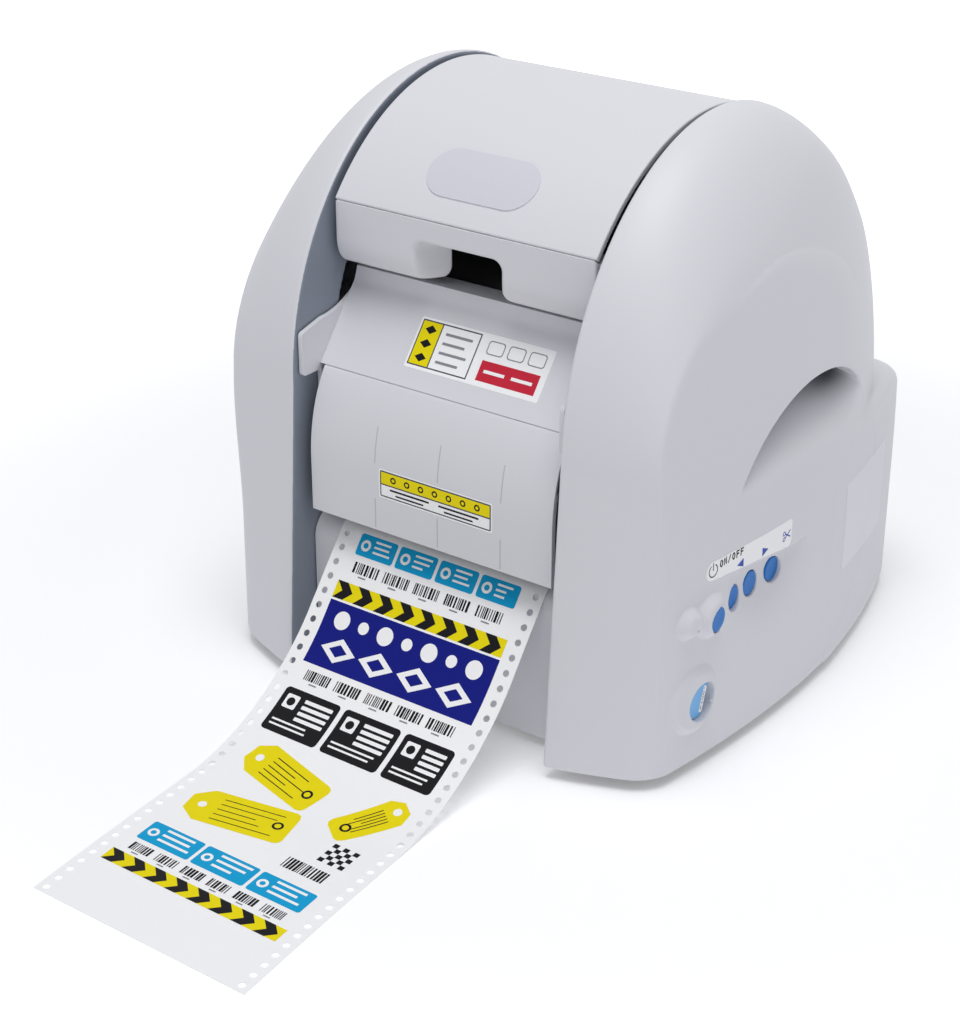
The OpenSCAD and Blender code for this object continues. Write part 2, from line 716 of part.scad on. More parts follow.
shelf_y0 = cover_edge[0] + 0.6;
shelf_z0 = cover_edge[1] + 0.7;
shelf_y1 = front_y + 49;
shelf_z1 = lip_bottom - 14;
ear_in = in_x - 2.8;
ear_out = in_x - 0.6;
ear_y = front_y + 13;
ear_tip = lip_bottom - 11;
module head_cover() {
  color(shell_c)
    difference() {
      union() {
        along_x(-ear_in, ear_in)
          polygon([[shelf_y0, shelf_z0], [shelf_y1, shelf_z1], [shelf_y1 + 2, shelf_z1 + 6],
            [shelf_y1 + 13, shelf_z1 + 6], [shelf_y1 + 13, shelf_z1 + 3.5], [shelf_y1 + 4.5, shelf_z1 + 3.5],
            [shelf_y1 + 2.4, shelf_z1 - 1], [shelf_y0 + 2.6, shelf_z0 - 1.6]]);
        for (x = [-ear_out, ear_in])
          along_x(x, x + ear_out - ear_in)
            polygon(concat([[ear_y, ear_tip - 36], [ear_y, ear_tip - 17]],
              [for (i = [0:4]) [ear_y + 14 + 8 * i, ear_tip - 14 + 14 * pow(i / 4, 2)]],
              [[ear_y + 46, cover_hinge_z - 5], [cover_hinge_y - 5, cover_hinge_z - 5], [cover_hinge_y - 5, ear_tip - 36]]));
      }
      rod_x(cover_sweep_r + 0.5, -ear_in, ear_in, cover_hinge_y, cover_hinge_z);
      rod_x(cover_pin_r + run_gap, -in_x, in_x, cover_hinge_y, cover_hinge_z);
    }
}

module cutter_cover() {
  color(shell_c)
    union() {
      along_x(-cover_half, cover_half)
        polygon(concat([[cover_y, cover_low]], cover_arc(0, 8),
          [for (i = [8:-1:0]) cover_arc(cover_t, 8)[i]], [[cover_y + cover_t, cover_low]]));
      for (x = [-cover_half, cover_half - cover_end_t])
        along_x(x, x + cover_end_t)
          difference() {
            polygon(concat([for (i = [3:8]) cover_arc(1, 8)[i]],
              [[cover_hinge_y, cover_hinge_z + 4.5], [cover_hinge_y + 4, cover_hinge_z],
               [cover_hinge_y, cover_hinge_z - 5], [cover_y + 3, cover_z + 16]]));
            translate([cover_hinge_y, cover_hinge_z])
              circle(r = cover_pin_r);
          }
      for (x = [-cover_half / 3, cover_half / 3])
        box(x - 0.8, x + 0.8, cover_y + cover_t - 0.5, cover_y + cover_t + 2.5, cover_low + 2, cover_z);
    }
}

module cover_pins() {
  color(steel_c)
    for (s = [-1, 1])
      rod_x(cover_pin_r, s > 0 ? cover_half - cover_end_t : -ear_out + 0.2,
        s > 0 ? ear_out - 0.2 : -cover_half + cover_end_t, cover_hinge_y, cover_hinge_z);
}

// Lid

module lid_shell() {
  color(shell_c)
    difference() {
      union() {
        along_x(-lid_half, lid_half)
          polygon(concat(lid_arc(0, 28), [for (i = [28:-1:0]) lid_arc(wall, 28)[i]]));
        rod_x(barrel_r, -lid_half, lid_half, hinge_y, hinge_z);
        for (x = [-lid_half + 1, lid_half - 3, -22, 20])
          along_x(x, x + 2)
            polygon(concat([for (i = [5:22]) lid_arc(wall - 0.9, 24)[i]],
              [for (i = [22:-1:5]) lid_arc(wall + 7, 24)[i]]));
      }
      rod_x(pin_r, -lid_half - cut, -lid_half + 14, hinge_y, hinge_z);
      rod_x(pin_r, lid_half - 14, lid_half + cut, hinge_y, hinge_z);
    }
}

lip_back = lid_front_y + 16;
lip_seam = 0.3;
notch_h = 16;
notch_round = 7;
notch_fillet = 5;
function notch_side() = concat([[notch_w / 2, -notch_h]],
  [for (i = [0:8]) [notch_w / 2 - notch_round * sin(i * 11.25), notch_round - notch_round * cos(i * 11.25)]],
  [for (i = [0:8]) [notch_w / 2 - notch_round - notch_fillet + notch_fillet * cos(i * 11.25),
    notch_h - notch_fillet + notch_fillet * sin(i * 11.25)]]);
module lid_lip() {
  color(shell_c)
    difference() {
      along_x(-lid_half, lid_half)
        union() {
          polygon([[lid_front_y, seam_z - lip_seam], [lid_front_y, lip_bottom + 8],
            [lid_front_y + 0.6, lip_bottom + 5], [lid_front_y + 2.4, lip_bottom + 2.4],
            [lid_front_y + 5, lip_bottom + 0.6], [lid_front_y + 8, lip_bottom], [lip_back, lip_bottom],
            [lip_back, lip_bottom + wall], [lid_front_y + 9, lip_bottom + wall],
            [lid_front_y + 4.8, lip_bottom + 4.8], [lid_front_y + wall, lip_bottom + 9],
            [lid_front_y + wall, seam_z - lip_seam - wall]]);
          translate([lid_front_y + 1, seam_z - 2 * wall - 0.4])
            square([lip_back - lid_front_y - 1, wall]);
          translate([lip_back - 2, lip_bottom + 8])
            square([2, seam_z - lip_bottom - 8 - wall - 0.4]);
        }
      translate([0, 0, lip_bottom])
        rotate([90, 0, 0])
          linear_extrude(height = body_d, center = true)
            polygon(concat(notch_side(), [for (i = [len(notch_side()) - 1:-1:0])
              [-notch_side()[i][0], notch_side()[i][1]]]));
    }
}

module lid_pins() {
  color(steel_c)
    for (s = [-1, 1])
      rod_x(pin_r, s > 0 ? lid_half - 14 : -in_x - 6, s > 0 ? in_x + 6 : -lid_half + 14, hinge_y, hinge_z);
}

badge_t = lid_start + 7.5;
badge_h = 22;
badge_w = 30;
module lid_badge() {
  c = lid_point(badge_t, 0);
  tilt = atan2(lid_front_b * cos(badge_t), lid_front_a * sin(badge_t));
  color(shell_c)
    intersection() {
      along_x(-lid_half / 2, lid_half)
        polygon(concat(lid_arc(-0.5, 28), [for (i = [28:-1:0]) lid_arc(0, 28)[i]]));
      translate([4, c[0], c[1]])
        rotate([tilt, 0, 0])
          linear_extrude(height = 12, center = true)
            union() {
              square([badge_w, badge_h], center = true);
              for (s = [-1, 1])
                translate([s * badge_w / 2, 0])
                  circle(r = badge_h / 2);
            }
    }
}

// Controls

module push_button(y) {
  top = button_floor(y) + 0.7 - control_back_x;
  color(blue_c)
    translate([control_back_x, y, button_z])
      rotate([0, 90, 0])
        rotate_extrude()
          polygon([[0, -5], [1.6, -5], [1.6, -2.4], [button_r + 1.4, -2.4], [button_r + 1.4, -part_gap],
            [button_r, -part_gap], [button_r, top - 0.8], [button_r - 0.8, top], [0, top]]);
}

module power_button() {
  push_button(button_ys[0]);
}

module back_button() {
  push_button(button_ys[1]);
}

module feed_button() {
  push_button(button_ys[2]);
}

module cut_button() {
  push_button(button_ys[3]);
}

module status_lens() {
  color([0.35, 0.85, 0.45])
    rod_x(lamp_r, control_back_x - 3, side_x(lamp_y) + bezel_rise + 0.3, lamp_y, lamp_z);
}

board_x = control_back_x - 11.6;
module button_board() {
  color([0.10, 0.34, 0.20])
    union() {
      box(board_x, board_x + 1.6, lamp_y - 8, button_ys[3] + 12, button_z - 9, button_z + 9);
      for (y = button_ys)
        box(board_x + 1.6, board_x + 4.4, y - 3, y + 3, button_z - 3, button_z + 3);
      box(board_x + 1.6, control_back_x - 3, lamp_y - 1.5, lamp_y + 1.5, lamp_z - 1.5, lamp_z + 1.5);
      for (i = [0, 2])
        rod_x(1.5, board_x + 1.6, control_back_x - 0.1, (button_ys[i] + button_ys[i + 1]) / 2, button_z + 7.2);
    }
}

module dial_wheel() {
  color([0.45, 0.66, 0.88])
    difference() {
      union() {
        rod_x(dial_r, dial_face_x - 1.2, dial_face_x + 0.8, dial_y, dial_z);
        intersection() {
          rod_x(dial_r - 1.2, dial_face_x + 0.6, dial_face_x + 3.2, dial_y, dial_z);
          translate([0, dial_y, dial_z])
            rotate([-dial_rest, 0, 0])
              box(dial_face_x, half_w, -dial_r, dial_r / 2, -dial_r, dial_r);
        }
      }
      rod_x(2 + run_gap, control_back_x, dial_face_x + 0.3, dial_y, dial_z);
    }
}

module dial_spindle() {
  color(black_c)
    union() {
      rod_x(2, dial_face_x - 2, dial_face_x - 0.1, dial_y, dial_z);
      rod_x(3.2, control_back_x - 5, dial_face_x - 1.6, dial_y, dial_z);
      box(control_back_x - 9, control_back_x - 5, dial_y - 6, dial_y + 6, dial_z - 6, dial_z + 6);
    }
}

// Label stock

module label_sheet() {
  color([0.97, 0.97, 0.98])
    along_x(-label_w / 2, label_w / 2)
      polygon(strip(web_line, label_t));
}

core_r = 13;
module label_roll() {
  color([0.96, 0.96, 0.97])
    difference() {
      rod_x(roll_r, -label_w / 2, label_w / 2, roll_y, roll_z);
      rod_x(core_r, -label_w, label_w, roll_y, roll_z);
    }
}

module roll_core() {
  color([0.66, 0.52, 0.36])
    difference() {
      rod_x(core_r, -label_w / 2, label_w / 2, roll_y, roll_z);
      rod_x(core_r - 2.5, -label_w, label_w, roll_y, roll_z);
    }
}

flange_t = 2;
module roll_flanges() {
  color(black_c)
    for (s = [-1, 1])
      difference() {
        union() {
          rod_x(roll_r - 2, s > 0 ? label_w / 2 + 0.2 : -label_w / 2 - 0.2 - flange_t,
            s > 0 ? label_w / 2 + 0.2 + flange_t : -label_w / 2 - 0.2, roll_y, roll_z);
          rod_x(core_r - 2.5, s > 0 ? label_w / 2 - 16 : -label_w / 2 - 0.2, s > 0 ? label_w / 2 + 0.2 : -label_w / 2 + 16,
            roll_y, roll_z);
        }
        rod_x(shaft_r + 1, -label_w, label_w, roll_y, roll_z);
        for (a = [0:60:300])
          rod_x(5, -label_w, label_w, roll_y + (core_r + 13) * cos(a), roll_z + (core_r + 13) * sin(a));
      }
}

module roll_shaft() {
  color(steel_c)
    rod_x(shaft_r + 1, -frame_x - frame_t - 2, frame_x + frame_t + 2, roll_y, roll_z);
}

// Feed

module platen_roller() {
  color(black_c)
    difference() {
      rod_x(platen_r, -arm_x + 1, arm_x - 1, platen_y, platen_z);
      rod_x(shaft_r, -label_w, label_w, platen_y, platen_z);
    }
}

module platen_shaft() {
  color(steel_c)
    union() {
      rod_x(shaft_r, -frame_x + 1, gear_x + gear_w + 0.6, platen_y, platen_z);
      for (x = [-frame_x - frame_t - 1, frame_x - 1])
        rod_x(shaft_r + 1, x, x + frame_t + 2, platen_y, platen_z);
    }
}

sprocket_x = label_w / 2 - 4;
module sprocket_wheels() {
  color([0.85, 0.85, 0.82])
    for (s = [-1, 1])
      difference() {
        union() {
          rod_x(platen_r - 2, s * sprocket_x - 3.4, s * sprocket_x + 3.4, platen_y, platen_z);
          for (k = [0:sprocket_pins - 1])
            translate([s * sprocket_x, platen_y, platen_z])
              rotate([360 * (k + 0.5) / sprocket_pins, 0, 0])
                translate([0, 0, platen_r - 3.5])
                  cylinder(r1 = 1.3, r2 = 0.9, h = 3.5);
        }
        rod_x(shaft_r, -label_w, label_w, platen_y, platen_z);
      }
}

module gear_x_axis(teeth, turn, x0, w, y, z, bore) {
  difference() {
    translate([0, y, z])
      along_x(x0, x0 + w)
        polygon(gear_points(teeth, turn));
    rod_x(bore, x0 - cut, x0 + w + cut, y, z);
  }
}

module platen_gear() {
  color([0.92, 0.92, 0.88])
    difference() {
      gear_x_axis(platen_teeth, -gear_drop, gear_x, gear_w, platen_y, platen_z, shaft_r);
      for (a = [0:72:288])
        rod_x(3, gear_x - cut, gear_x + gear_w + cut, platen_y + 10 * cos(a), platen_z + 10 * sin(a));
    }
}

module motor_pinion() {
  color([0.80, 0.68, 0.36])
    gear_x_axis(pinion_teeth, 180 - gear_drop + 180 / pinion_teeth, gear_x, gear_w, motor_y, motor_z, 2.5);
}

module feed_motor() {
  color(black_c)
    union() {
      difference() {
        box(motor_x + 2, motor_x + 30, motor_y - 18, motor_y + 18, motor_z - 18, motor_z + 18);
        for (a = [-1, 1])
          for (b = [-1, 1])
            translate([motor_x, motor_y + a * 18, motor_z + b * 18])
              rotate([45, 0, 0])
                cube([80, 5, 5], center = true);
      }
      rod_x(9, motor_x + 0.2, motor_x + 2, motor_y, motor_z);
      rod_x(2.45, gear_x - 0.5, motor_x + 1, motor_y, motor_z);
    }
}

module motor_bracket() {
  color(steel_c)
    difference() {
      union() {
        box(motor_x, motor_x + 1.8, motor_y - 19, motor_y + 19, motor_z - 19, motor_z + 12);
        for (p = [[motor_y + 15, motor_z + 8], [motor_y - 15, motor_z - 15], [motor_y + 15, motor_z - 15]])
          rod_x(2.5, frame_x + frame_t, motor_x, p[0], p[1]);
      }
      rod_x(9.2, motor_x - cut, motor_x + 3, motor_y, motor_z);
    }
}

module guide_bar() {
  color(steel_c)
    union() {
      rod_x(guide_r, -label_w / 2 - 2, label_w / 2 + 2, guide_y, guide_z);
      rod_x(3, -frame_x - frame_t, frame_x + frame_t, guide_y, guide_z);
    }
}

bed_z = sheet_z - 0.3;
module cutting_bed() {
  color(steel_c)
    difference() {
      along_x(-frame_x + 0.1, frame_x - 0.1)
        polygon([[lip_y + 1.5, bed_z], [platen_y - platen_r - 1.5, bed_z], [platen_y - platen_r - 1.5, bed_z - 3],
          [cut_y + 8, bed_z - 5.5], [cut_y + 8, bed_z - 16], [cut_y + 6, bed_z - 16], [cut_y + 6, bed_z - 5.5],
          [lip_y + 1.5, bed_z - 5.5]]);
      box(-label_w / 2 - 1, label_w / 2 + 1, cut_y - 4, cut_y + 4, bed_z - 3, bed_z + cut);
    }
}

module cutting_mat() {
  color([0.20, 0.34, 0.30])
    box(-label_w / 2 - 0.8, label_w / 2 + 0.8, cut_y - 3.8, cut_y + 3.8, bed_z - 3, bed_z);
}

// Print head

module head_pivot() {
  color(steel_c)
    rod_x(shaft_r, -frame_x - frame_t - 1, frame_x + frame_t + 1, pivot_y, pivot_z);
}

module head_arm() {
  color(steel_c)
    difference() {
      union() {
        for (x = [-arm_x - arm_t, arm_x])
          along_x(x, x + arm_t)
            union() {
              translate([pivot_y, pivot_z])
                circle(r = 7);
              polygon([[pivot_y - 2, pivot_z + 6.7], [platen_y + 12, head_z + 34], [platen_y - 7, head_z + 34],
                [platen_y - 7, head_z + 12], [platen_y + 7, head_z + 12], [platen_y + 16, head_z + 22],
                [pivot_y + 2, pivot_z - 6.7]]);
            }
        box(-arm_x, arm_x, platen_y - 7, platen_y + 7, head_z + 30, head_z + 34);
        rod_x(6.5, -arm_x, arm_x, pivot_y, pivot_z);
      }
      rod_x(shaft_r + run_gap, -frame_x, frame_x, pivot_y, pivot_z);
    }
}

module print_head() {
  color([0.84, 0.84, 0.80])
    union() {
      along_x(-arm_x + 0.6, arm_x - 0.6)
        polygon([[platen_y - 6, head_z + 6], [platen_y - 6, head_z + 2], [platen_y - 2, head_z],
          [platen_y + 2, head_z], [platen_y + 6, head_z + 2], [platen_y + 6, head_z + 6]]);
      box(-24, 24, platen_y + 5.4, platen_y + 8.5, head_z + 2.5, head_z + 6);
    }
}

module heat_sink() {
  color([0.76, 0.77, 0.79])
    union() {
      box(-arm_x + 0.3, arm_x - 0.3, platen_y - 6.5, platen_y + 6.5, head_z + 6, head_z + 13);
      for (y = [-5.5, -2, 1.5, 5])
        box(-arm_x + 3, arm_x - 3, platen_y + y - 0.7, platen_y + y + 0.7, head_z + 13, head_z + 27);
      for (x = [-arm_x + 8, arm_x - 8])
        box(x - 4, x + 4, platen_y - 6.5, platen_y + 6.5, head_z + 13, head_z + 30);
    }
}

// Ribbon

leg_rear = platen_y + 17;
leg_front = platen_y - 17;
module case_outline(grow) {
  for (y = [takeup_y, supply_y])
    translate([y, spool_z])
      circle(r = case_r + grow);
  translate([takeup_y, spool_z])
    square([supply_y - takeup_y, case_r + grow]);
}

module ribbon_cassette() {
  color(black_c)
    difference() {
      union() {
        along_x(-case_x, case_x)
          case_outline(0);
        for (x = [-case_x, case_x - case_t])
          along_x(x, x + case_t)
            polygon([[takeup_y - 20, spool_z], [leg_front - 2, film_z + 5], [leg_front + 6, film_z + 5],
              [takeup_y - 10, spool_z - 30], [leg_rear - 5, film_z + 5], [leg_rear + 4, film_z + 5],
              [supply_y - 14, spool_z - 10], [takeup_y + 20, spool_z]]);
        for (y = [leg_front + 2, leg_rear - 1])
          rod_x(2.4, -case_x, case_x, y, film_z + 8.5);
        for (x = [-frame_x - frame_t, case_x])
          rod_x(3.5, x, x + frame_x + frame_t - case_x, (takeup_y + supply_y) / 2, frame_high + 3.55);
        for (x = [-case_x - 0.3, case_x - case_t])
          along_x(x, x + case_t + 0.3)
            translate([(takeup_y + supply_y) / 2 - 12, frame_high - 6])
              square([24, spool_z - frame_high + 10]);
      }
      along_x(-case_x + case_t, case_x - case_t)
        case_outline(-case_t);
      along_x(-case_x + case_t, case_x - case_t)
        translate([takeup_y - case_r, spool_z - 40])
          square([supply_y - takeup_y + 10, 40 - 5]);
      for (y = [takeup_y, supply_y])
        rod_x(4 + run_gap, -case_x - cut, case_x + cut, y, spool_z);
    }
}

module spool(y, wind_r) {
  union() {
    rod_x(spool_core_r, -case_x + case_t + 0.5, case_x - case_t - 0.5, y, spool_z);
    rod_x(4, -case_x - 0.5, case_x + 0.5, y, spool_z);
    rod_x(wind_r, -label_w / 2 + 6, label_w / 2 - 6, y, spool_z);
  }
}

module supply_spool() {
  color([0.16, 0.16, 0.18])
    spool(supply_y, supply_r);
}

module takeup_spool() {
  color([0.16, 0.16, 0.18])
    spool(takeup_y, takeup_r);
}

film_t = 0.2;
module ribbon_film() {
  color([0.14, 0.14, 0.16])
    along_x(-arm_x + 0.6, arm_x - 0.6)
      polygon(strip([[supply_y - supply_r - 0.6, spool_z - 2], [leg_rear + 2.2, film_z + 8],
        [leg_rear - 0.5, film_z + 5.2], [platen_y + 8, film_z], [platen_y - 8, film_z], [leg_front + 1.5, film_z + 5.2],
        [leg_front - 1.2, film_z + 8], [takeup_y - takeup_r - 0.8, spool_z + 1]], film_t));
}

// Cutter

module guide_rods() {
  color(steel_c)
    for (p = [rod_back, rod_front])
      rod_x(rod_r, -frame_x - frame_t - 0.6, frame_x + frame_t + 0.6, p[0], p[1]);
}

module cutter_beam() {
  color(steel_c)
    difference() {
      union() {
        box(-frame_x + 0.1, frame_x - 0.1, cut_y - 10, cut_y + 10, beam_z, beam_z + 2);
        for (x = [-frame_x + 0.1, frame_x - 1.3])
          box(x, x + 1.2, cut_y - 4, cut_y + 10, beam_z - 6, beam_z);
        rod_z(2, belt_z - 3.4, beam_z, pulley_x, cut_y);
      }
      rod_z(4.2, beam_z - cut, beam_z + 3, -pulley_x, cut_y);
    }
}

module cutter_motor() {
  color(black_c)
    union() {
      rod_z(motor_r, beam_z + 2, beam_z + 16, -pulley_x, cut_y);
      rod_z(4, beam_z, beam_z + 2.4, -pulley_x, cut_y);
      rod_z(2, belt_z - 3.4, beam_z + 1, -pulley_x, cut_y);
    }
}

module pulley(x) {
  difference() {
    union() {
      rod_z(pulley_r, belt_z - 2.9, belt_z + 2.9, x, cut_y);
      rod_z(pulley_r + 1.4, belt_z - 3.1, belt_z - 2.5, x, cut_y);
      rod_z(pulley_r + 1.4, belt_z + 2.5, belt_z + 3.1, x, cut_y);
    }
    rod_z(2 + run_gap, belt_z - 5, belt_z + 5, x, cut_y);
    for (a = [0:60:300])
      rod_z(0.9, belt_z - 5, belt_z + 5, x + 4 * cos(a), cut_y + 4 * sin(a));
  }
}

module drive_pulley() {
  color(steel_c)
    pulley(-pulley_x);
}

module idler_pulley() {
  color(steel_c)
    pulley(pulley_x);
}

module belt_loop(r) {
  for (x = [-pulley_x, pulley_x])
    translate([x, cut_y])
      circle(r = r);
  translate([-pulley_x, cut_y - r])
    square([2 * pulley_x, 2 * r]);
}

module drive_belt() {
  color(black_c)
    translate([0, 0, belt_z - 2])
      linear_extrude(height = 4)
        difference() {
          belt_loop(pulley_r + 0.3 + belt_t);
          belt_loop(pulley_r + 0.3);
        }
}

module cutter_carriage() {
  run_y = cut_y - pulley_r - 0.3 - belt_t / 2;
  color(dark_c)
    difference() {
      union() {
        box(-carriage_w / 2, carriage_w / 2, rod_front[0] - 4.5, rod_back[0] + 4.5, base_z + 92, belt_z - 4);
        box(-4.5, 4.5, run_y - 3, run_y + 3, belt_z - 5, belt_z + 3.4);
      }
      box(-10, 10, run_y - belt_t / 2 - 0.4, run_y + belt_t / 2 + 0.4, belt_z - 2.5, belt_z + 2.5);
      rod_z(blade_r + run_gap, base_z + 80, belt_z, 0, cut_y);
      for (p = [rod_back, rod_front])
        rod_x(rod_r + run_gap, -carriage_w, carriage_w, p[0], p[1]);
    }
}

module blade_holder() {
  color([0.80, 0.68, 0.36])
    union() {
      rod_z(blade_r, base_z + 86, belt_z - 5.5, 0, cut_y);
      translate([0, cut_y, blade_rest + 4])
        cylinder(r1 = 2, r2 = blade_r, h = base_z + 86 - blade_rest - 4);
      translate([0, cut_y, blade_rest])
        cylinder(r1 = 0.3, r2 = 1, h = 4.2);
    }
}

// Electronics

module main_board() {
  color([0.10, 0.34, 0.20])
    union() {
      box(-frame_x - frame_t - 6.6, -frame_x - frame_t - 5, platen_y - 4, roll_y + 30, base_z + 18, base_z + 88);
      for (p = [[platen_y + 4, base_z + 24], [platen_y + 4, base_z + 82], [roll_y + 22, base_z + 24]])
        rod_x(2.5, -frame_x - frame_t - 5, -frame_x - frame_t, p[0], p[1]);
      box(-frame_x - frame_t - 9, -frame_x - frame_t - 6.6, platen_y + 30, platen_y + 52, base_z + 40, base_z + 62);
      box(-frame_x - frame_t - 8.6, -frame_x - frame_t - 6.6, platen_y + 64, platen_y + 78, base_z + 30, base_z + 44);
      for (i = [0:3])
        rod_x(4, -frame_x - frame_t - 18, -frame_x - frame_t - 6.6, roll_y - 6 + i * 10, base_z + 76);
      box(-frame_x - frame_t - 14, -frame_x - frame_t - 6.6, platen_y, platen_y + 22, base_z + 70, base_z + 78);
    }
}

module power_supply() {
  color(steel_c)
    difference() {
      union() {
        box(frame_x + frame_t + 1, half_w - 26, roll_y - 22, roll_y + 30, base_z + 3, base_z + 44);
        box(frame_x + frame_t, frame_x + frame_t + 1, roll_y - 10, roll_y + 20, base_z + 6, base_z + 36);
      }
      for (i = [0:3])
        box(frame_x + 10, half_w - 30, roll_y - 16 + i * 10, roll_y - 12 + i * 10, base_z + 40, base_z + 46);
    }
}

base_plate();
rubber_feet();
left_side_cover();
right_side_cover();
left_side_frame();
right_side_frame();
rear_cover();
lower_front_panel();
head_cover();
lid_shell();
lid_lip();
lid_pins();
lid_badge();
lid_bushings();
cutter_cover();
cover_pins();
power_button();
back_button();
feed_button();
cut_button();
status_lens();
button_board();
dial_wheel();
dial_spindle();
label_sheet();
label_roll();
roll_core();
roll_shaft();
roll_flanges();
platen_roller();
platen_shaft();
sprocket_wheels();
platen_gear();
motor_pinion();
feed_motor();
motor_bracket();
guide_bar();
cutting_bed();
cutting_mat();
head_pivot();
head_arm();
print_head();
heat_sink();
ribbon_cassette();
ribbon_film();
supply_spool();
takeup_spool();
guide_rods();
cutter_beam();
cutter_motor();
drive_pulley();
idler_pulley();
drive_belt();
cutter_carriage();
blade_holder();
main_board();
power_supply();
power_inlet();
usb_socket();
rear_screws();
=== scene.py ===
# %% [markdown]
# # A desktop label printer
# This lesson dresses a packed label printer for its portrait. The solids of the printer come in as a frame
# that is never moved. Pieces whose surface flows, such as the domed side covers, are modelled again here as
# finer meshes that stand for the same solids, and every other piece gets a finish of its own. Lengths below
# are in millimetres and are turned into metres as each mesh is made.

import math

import bmesh
import bpy
import numpy as np
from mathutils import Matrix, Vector


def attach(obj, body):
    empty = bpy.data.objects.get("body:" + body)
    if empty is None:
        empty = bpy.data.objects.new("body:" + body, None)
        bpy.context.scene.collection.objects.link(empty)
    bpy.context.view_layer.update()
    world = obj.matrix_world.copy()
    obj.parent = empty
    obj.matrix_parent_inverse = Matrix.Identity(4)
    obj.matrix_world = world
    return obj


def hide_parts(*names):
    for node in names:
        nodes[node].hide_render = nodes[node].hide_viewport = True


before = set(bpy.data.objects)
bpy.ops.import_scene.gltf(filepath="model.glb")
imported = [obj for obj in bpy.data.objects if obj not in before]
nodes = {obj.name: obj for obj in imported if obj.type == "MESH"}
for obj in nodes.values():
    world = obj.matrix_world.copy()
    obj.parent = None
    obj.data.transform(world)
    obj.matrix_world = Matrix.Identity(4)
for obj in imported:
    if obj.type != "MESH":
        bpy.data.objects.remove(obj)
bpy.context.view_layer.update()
MM = 0.001

# %% [markdown]
# ## Surface effects shared by several finishes
# Moulded plastic is never perfectly even: the tool's spark-eroded grain gives a fine bump, and the gloss
# drifts a little from place to place. Metal that was rolled or ground shows fine lines along one direction.
# Both effects are built once as shader groups with named sockets, so each finish can set its own strength.
# The groups put out only a colour, a roughness and a height. The shader itself stays in the material.


# %% Shader groups for moulded grain and brushed lines
def new_group(name, inputs, outputs):
    group = bpy.data.node_groups.new(name, "ShaderNodeTree")
    for label, kind, value in inputs:
        socket = group.interface.new_socket(label, in_out="INPUT", socket_type=kind)
        socket.default_value = value
    for label, kind in outputs:
        group.interface.new_socket(label, in_out="OUTPUT", socket_type=kind)
    return group, group.nodes.new("NodeGroupInput"), group.nodes.new("NodeGroupOutput")


def add_math(tree, operation, first, second):
    node = tree.nodes.new("ShaderNodeMath")
    node.operation = operation
    for socket, value in zip(node.inputs, (first, second)):
        if isinstance(value, (int, float)):
            socket.default_value = value
        else:
            tree.links.new(value, socket)
    return node.outputs[0]


def surface_group(name, stretch):
    """Fine noise, stretched along the three axes, as tint, roughness and height."""
    colour, value = "NodeSocketColor", "NodeSocketFloat"
    group, start, end = new_group(
        name,
        [("Colour", colour, (0.5, 0.5, 0.5, 1)), ("Roughness", value, 0.5), ("Scale", value, 900.0),
         ("Drift", value, 0.04), ("Gloss drift", value, 0.08)],
        [("Colour", colour), ("Roughness", value), ("Height", value)])
    link = group.links.new
    place = group.nodes.new("ShaderNodeTexCoord")
    mapping = group.nodes.new("ShaderNodeMapping")
    mapping.inputs["Scale"].default_value = stretch
    link(place.outputs["Object"], mapping.inputs["Vector"])
    fine = group.nodes.new("ShaderNodeTexNoise")
    fine.inputs["Detail"].default_value = 3.0
    link(mapping.outputs["Vector"], fine.inputs["Vector"])
    link(start.outputs["Scale"], fine.inputs["Scale"])
    broad = group.nodes.new("ShaderNodeTexNoise")
    broad.inputs["Scale"].default_value = 14.0
    broad.inputs["Detail"].default_value = 4.0
    link(mapping.outputs["Vector"], broad.inputs["Vector"])
    swing = add_math(group, "SUBTRACT", broad.outputs["Fac"], 0.5)
    tint = group.nodes.new("ShaderNodeHueSaturation")
    link(start.outputs["Colour"], tint.inputs["Color"])
    bright = add_math(group, "ADD", add_math(group, "MULTIPLY", swing, start.outputs["Drift"]), 1.0)
    link(bright, tint.inputs["Value"])
    link(tint.outputs["Color"], end.inputs["Colour"])
    rough = add_math(group, "MULTIPLY", swing, start.outputs["Gloss drift"])
    link(add_math(group, "ADD", start.outputs["Roughness"], rough), end.inputs["Roughness"])
    link(fine.outputs["Fac"], end.inputs["Height"])
    return group


moulded_grain = surface_group("Moulded grain", (1.0, 1.0, 1.0))
brushed_lines = surface_group("Brushed lines", (0.03, 1.0, 1.0))
print("groups", [g.name for g in (moulded_grain, brushed_lines)])

# %% [markdown]
# ## The finishes
# Colours are written as they look on a screen and turned into linear light. The shell of the printer is a
# pale cool grey plastic with a fine grain, the buttons are a clear mid blue, the dial a light blue, and the
# works inside are steel, brass, aluminium, rubber and black plastic. One function places a group in each
# material with its own values.


# %% One function for all finishes
GRAIN_DEPTH = 0.0003


def linear(hex_colour):
    """A screen colour as linear light."""
    channels = [int(hex_colour[i:i + 2], 16) / 255 for i in (0, 2, 4)]
    return tuple(c / 12.92 if c <= 0.04045 else ((c + 0.055) / 1.055) ** 2.4 for c in channels) + (1.0,)


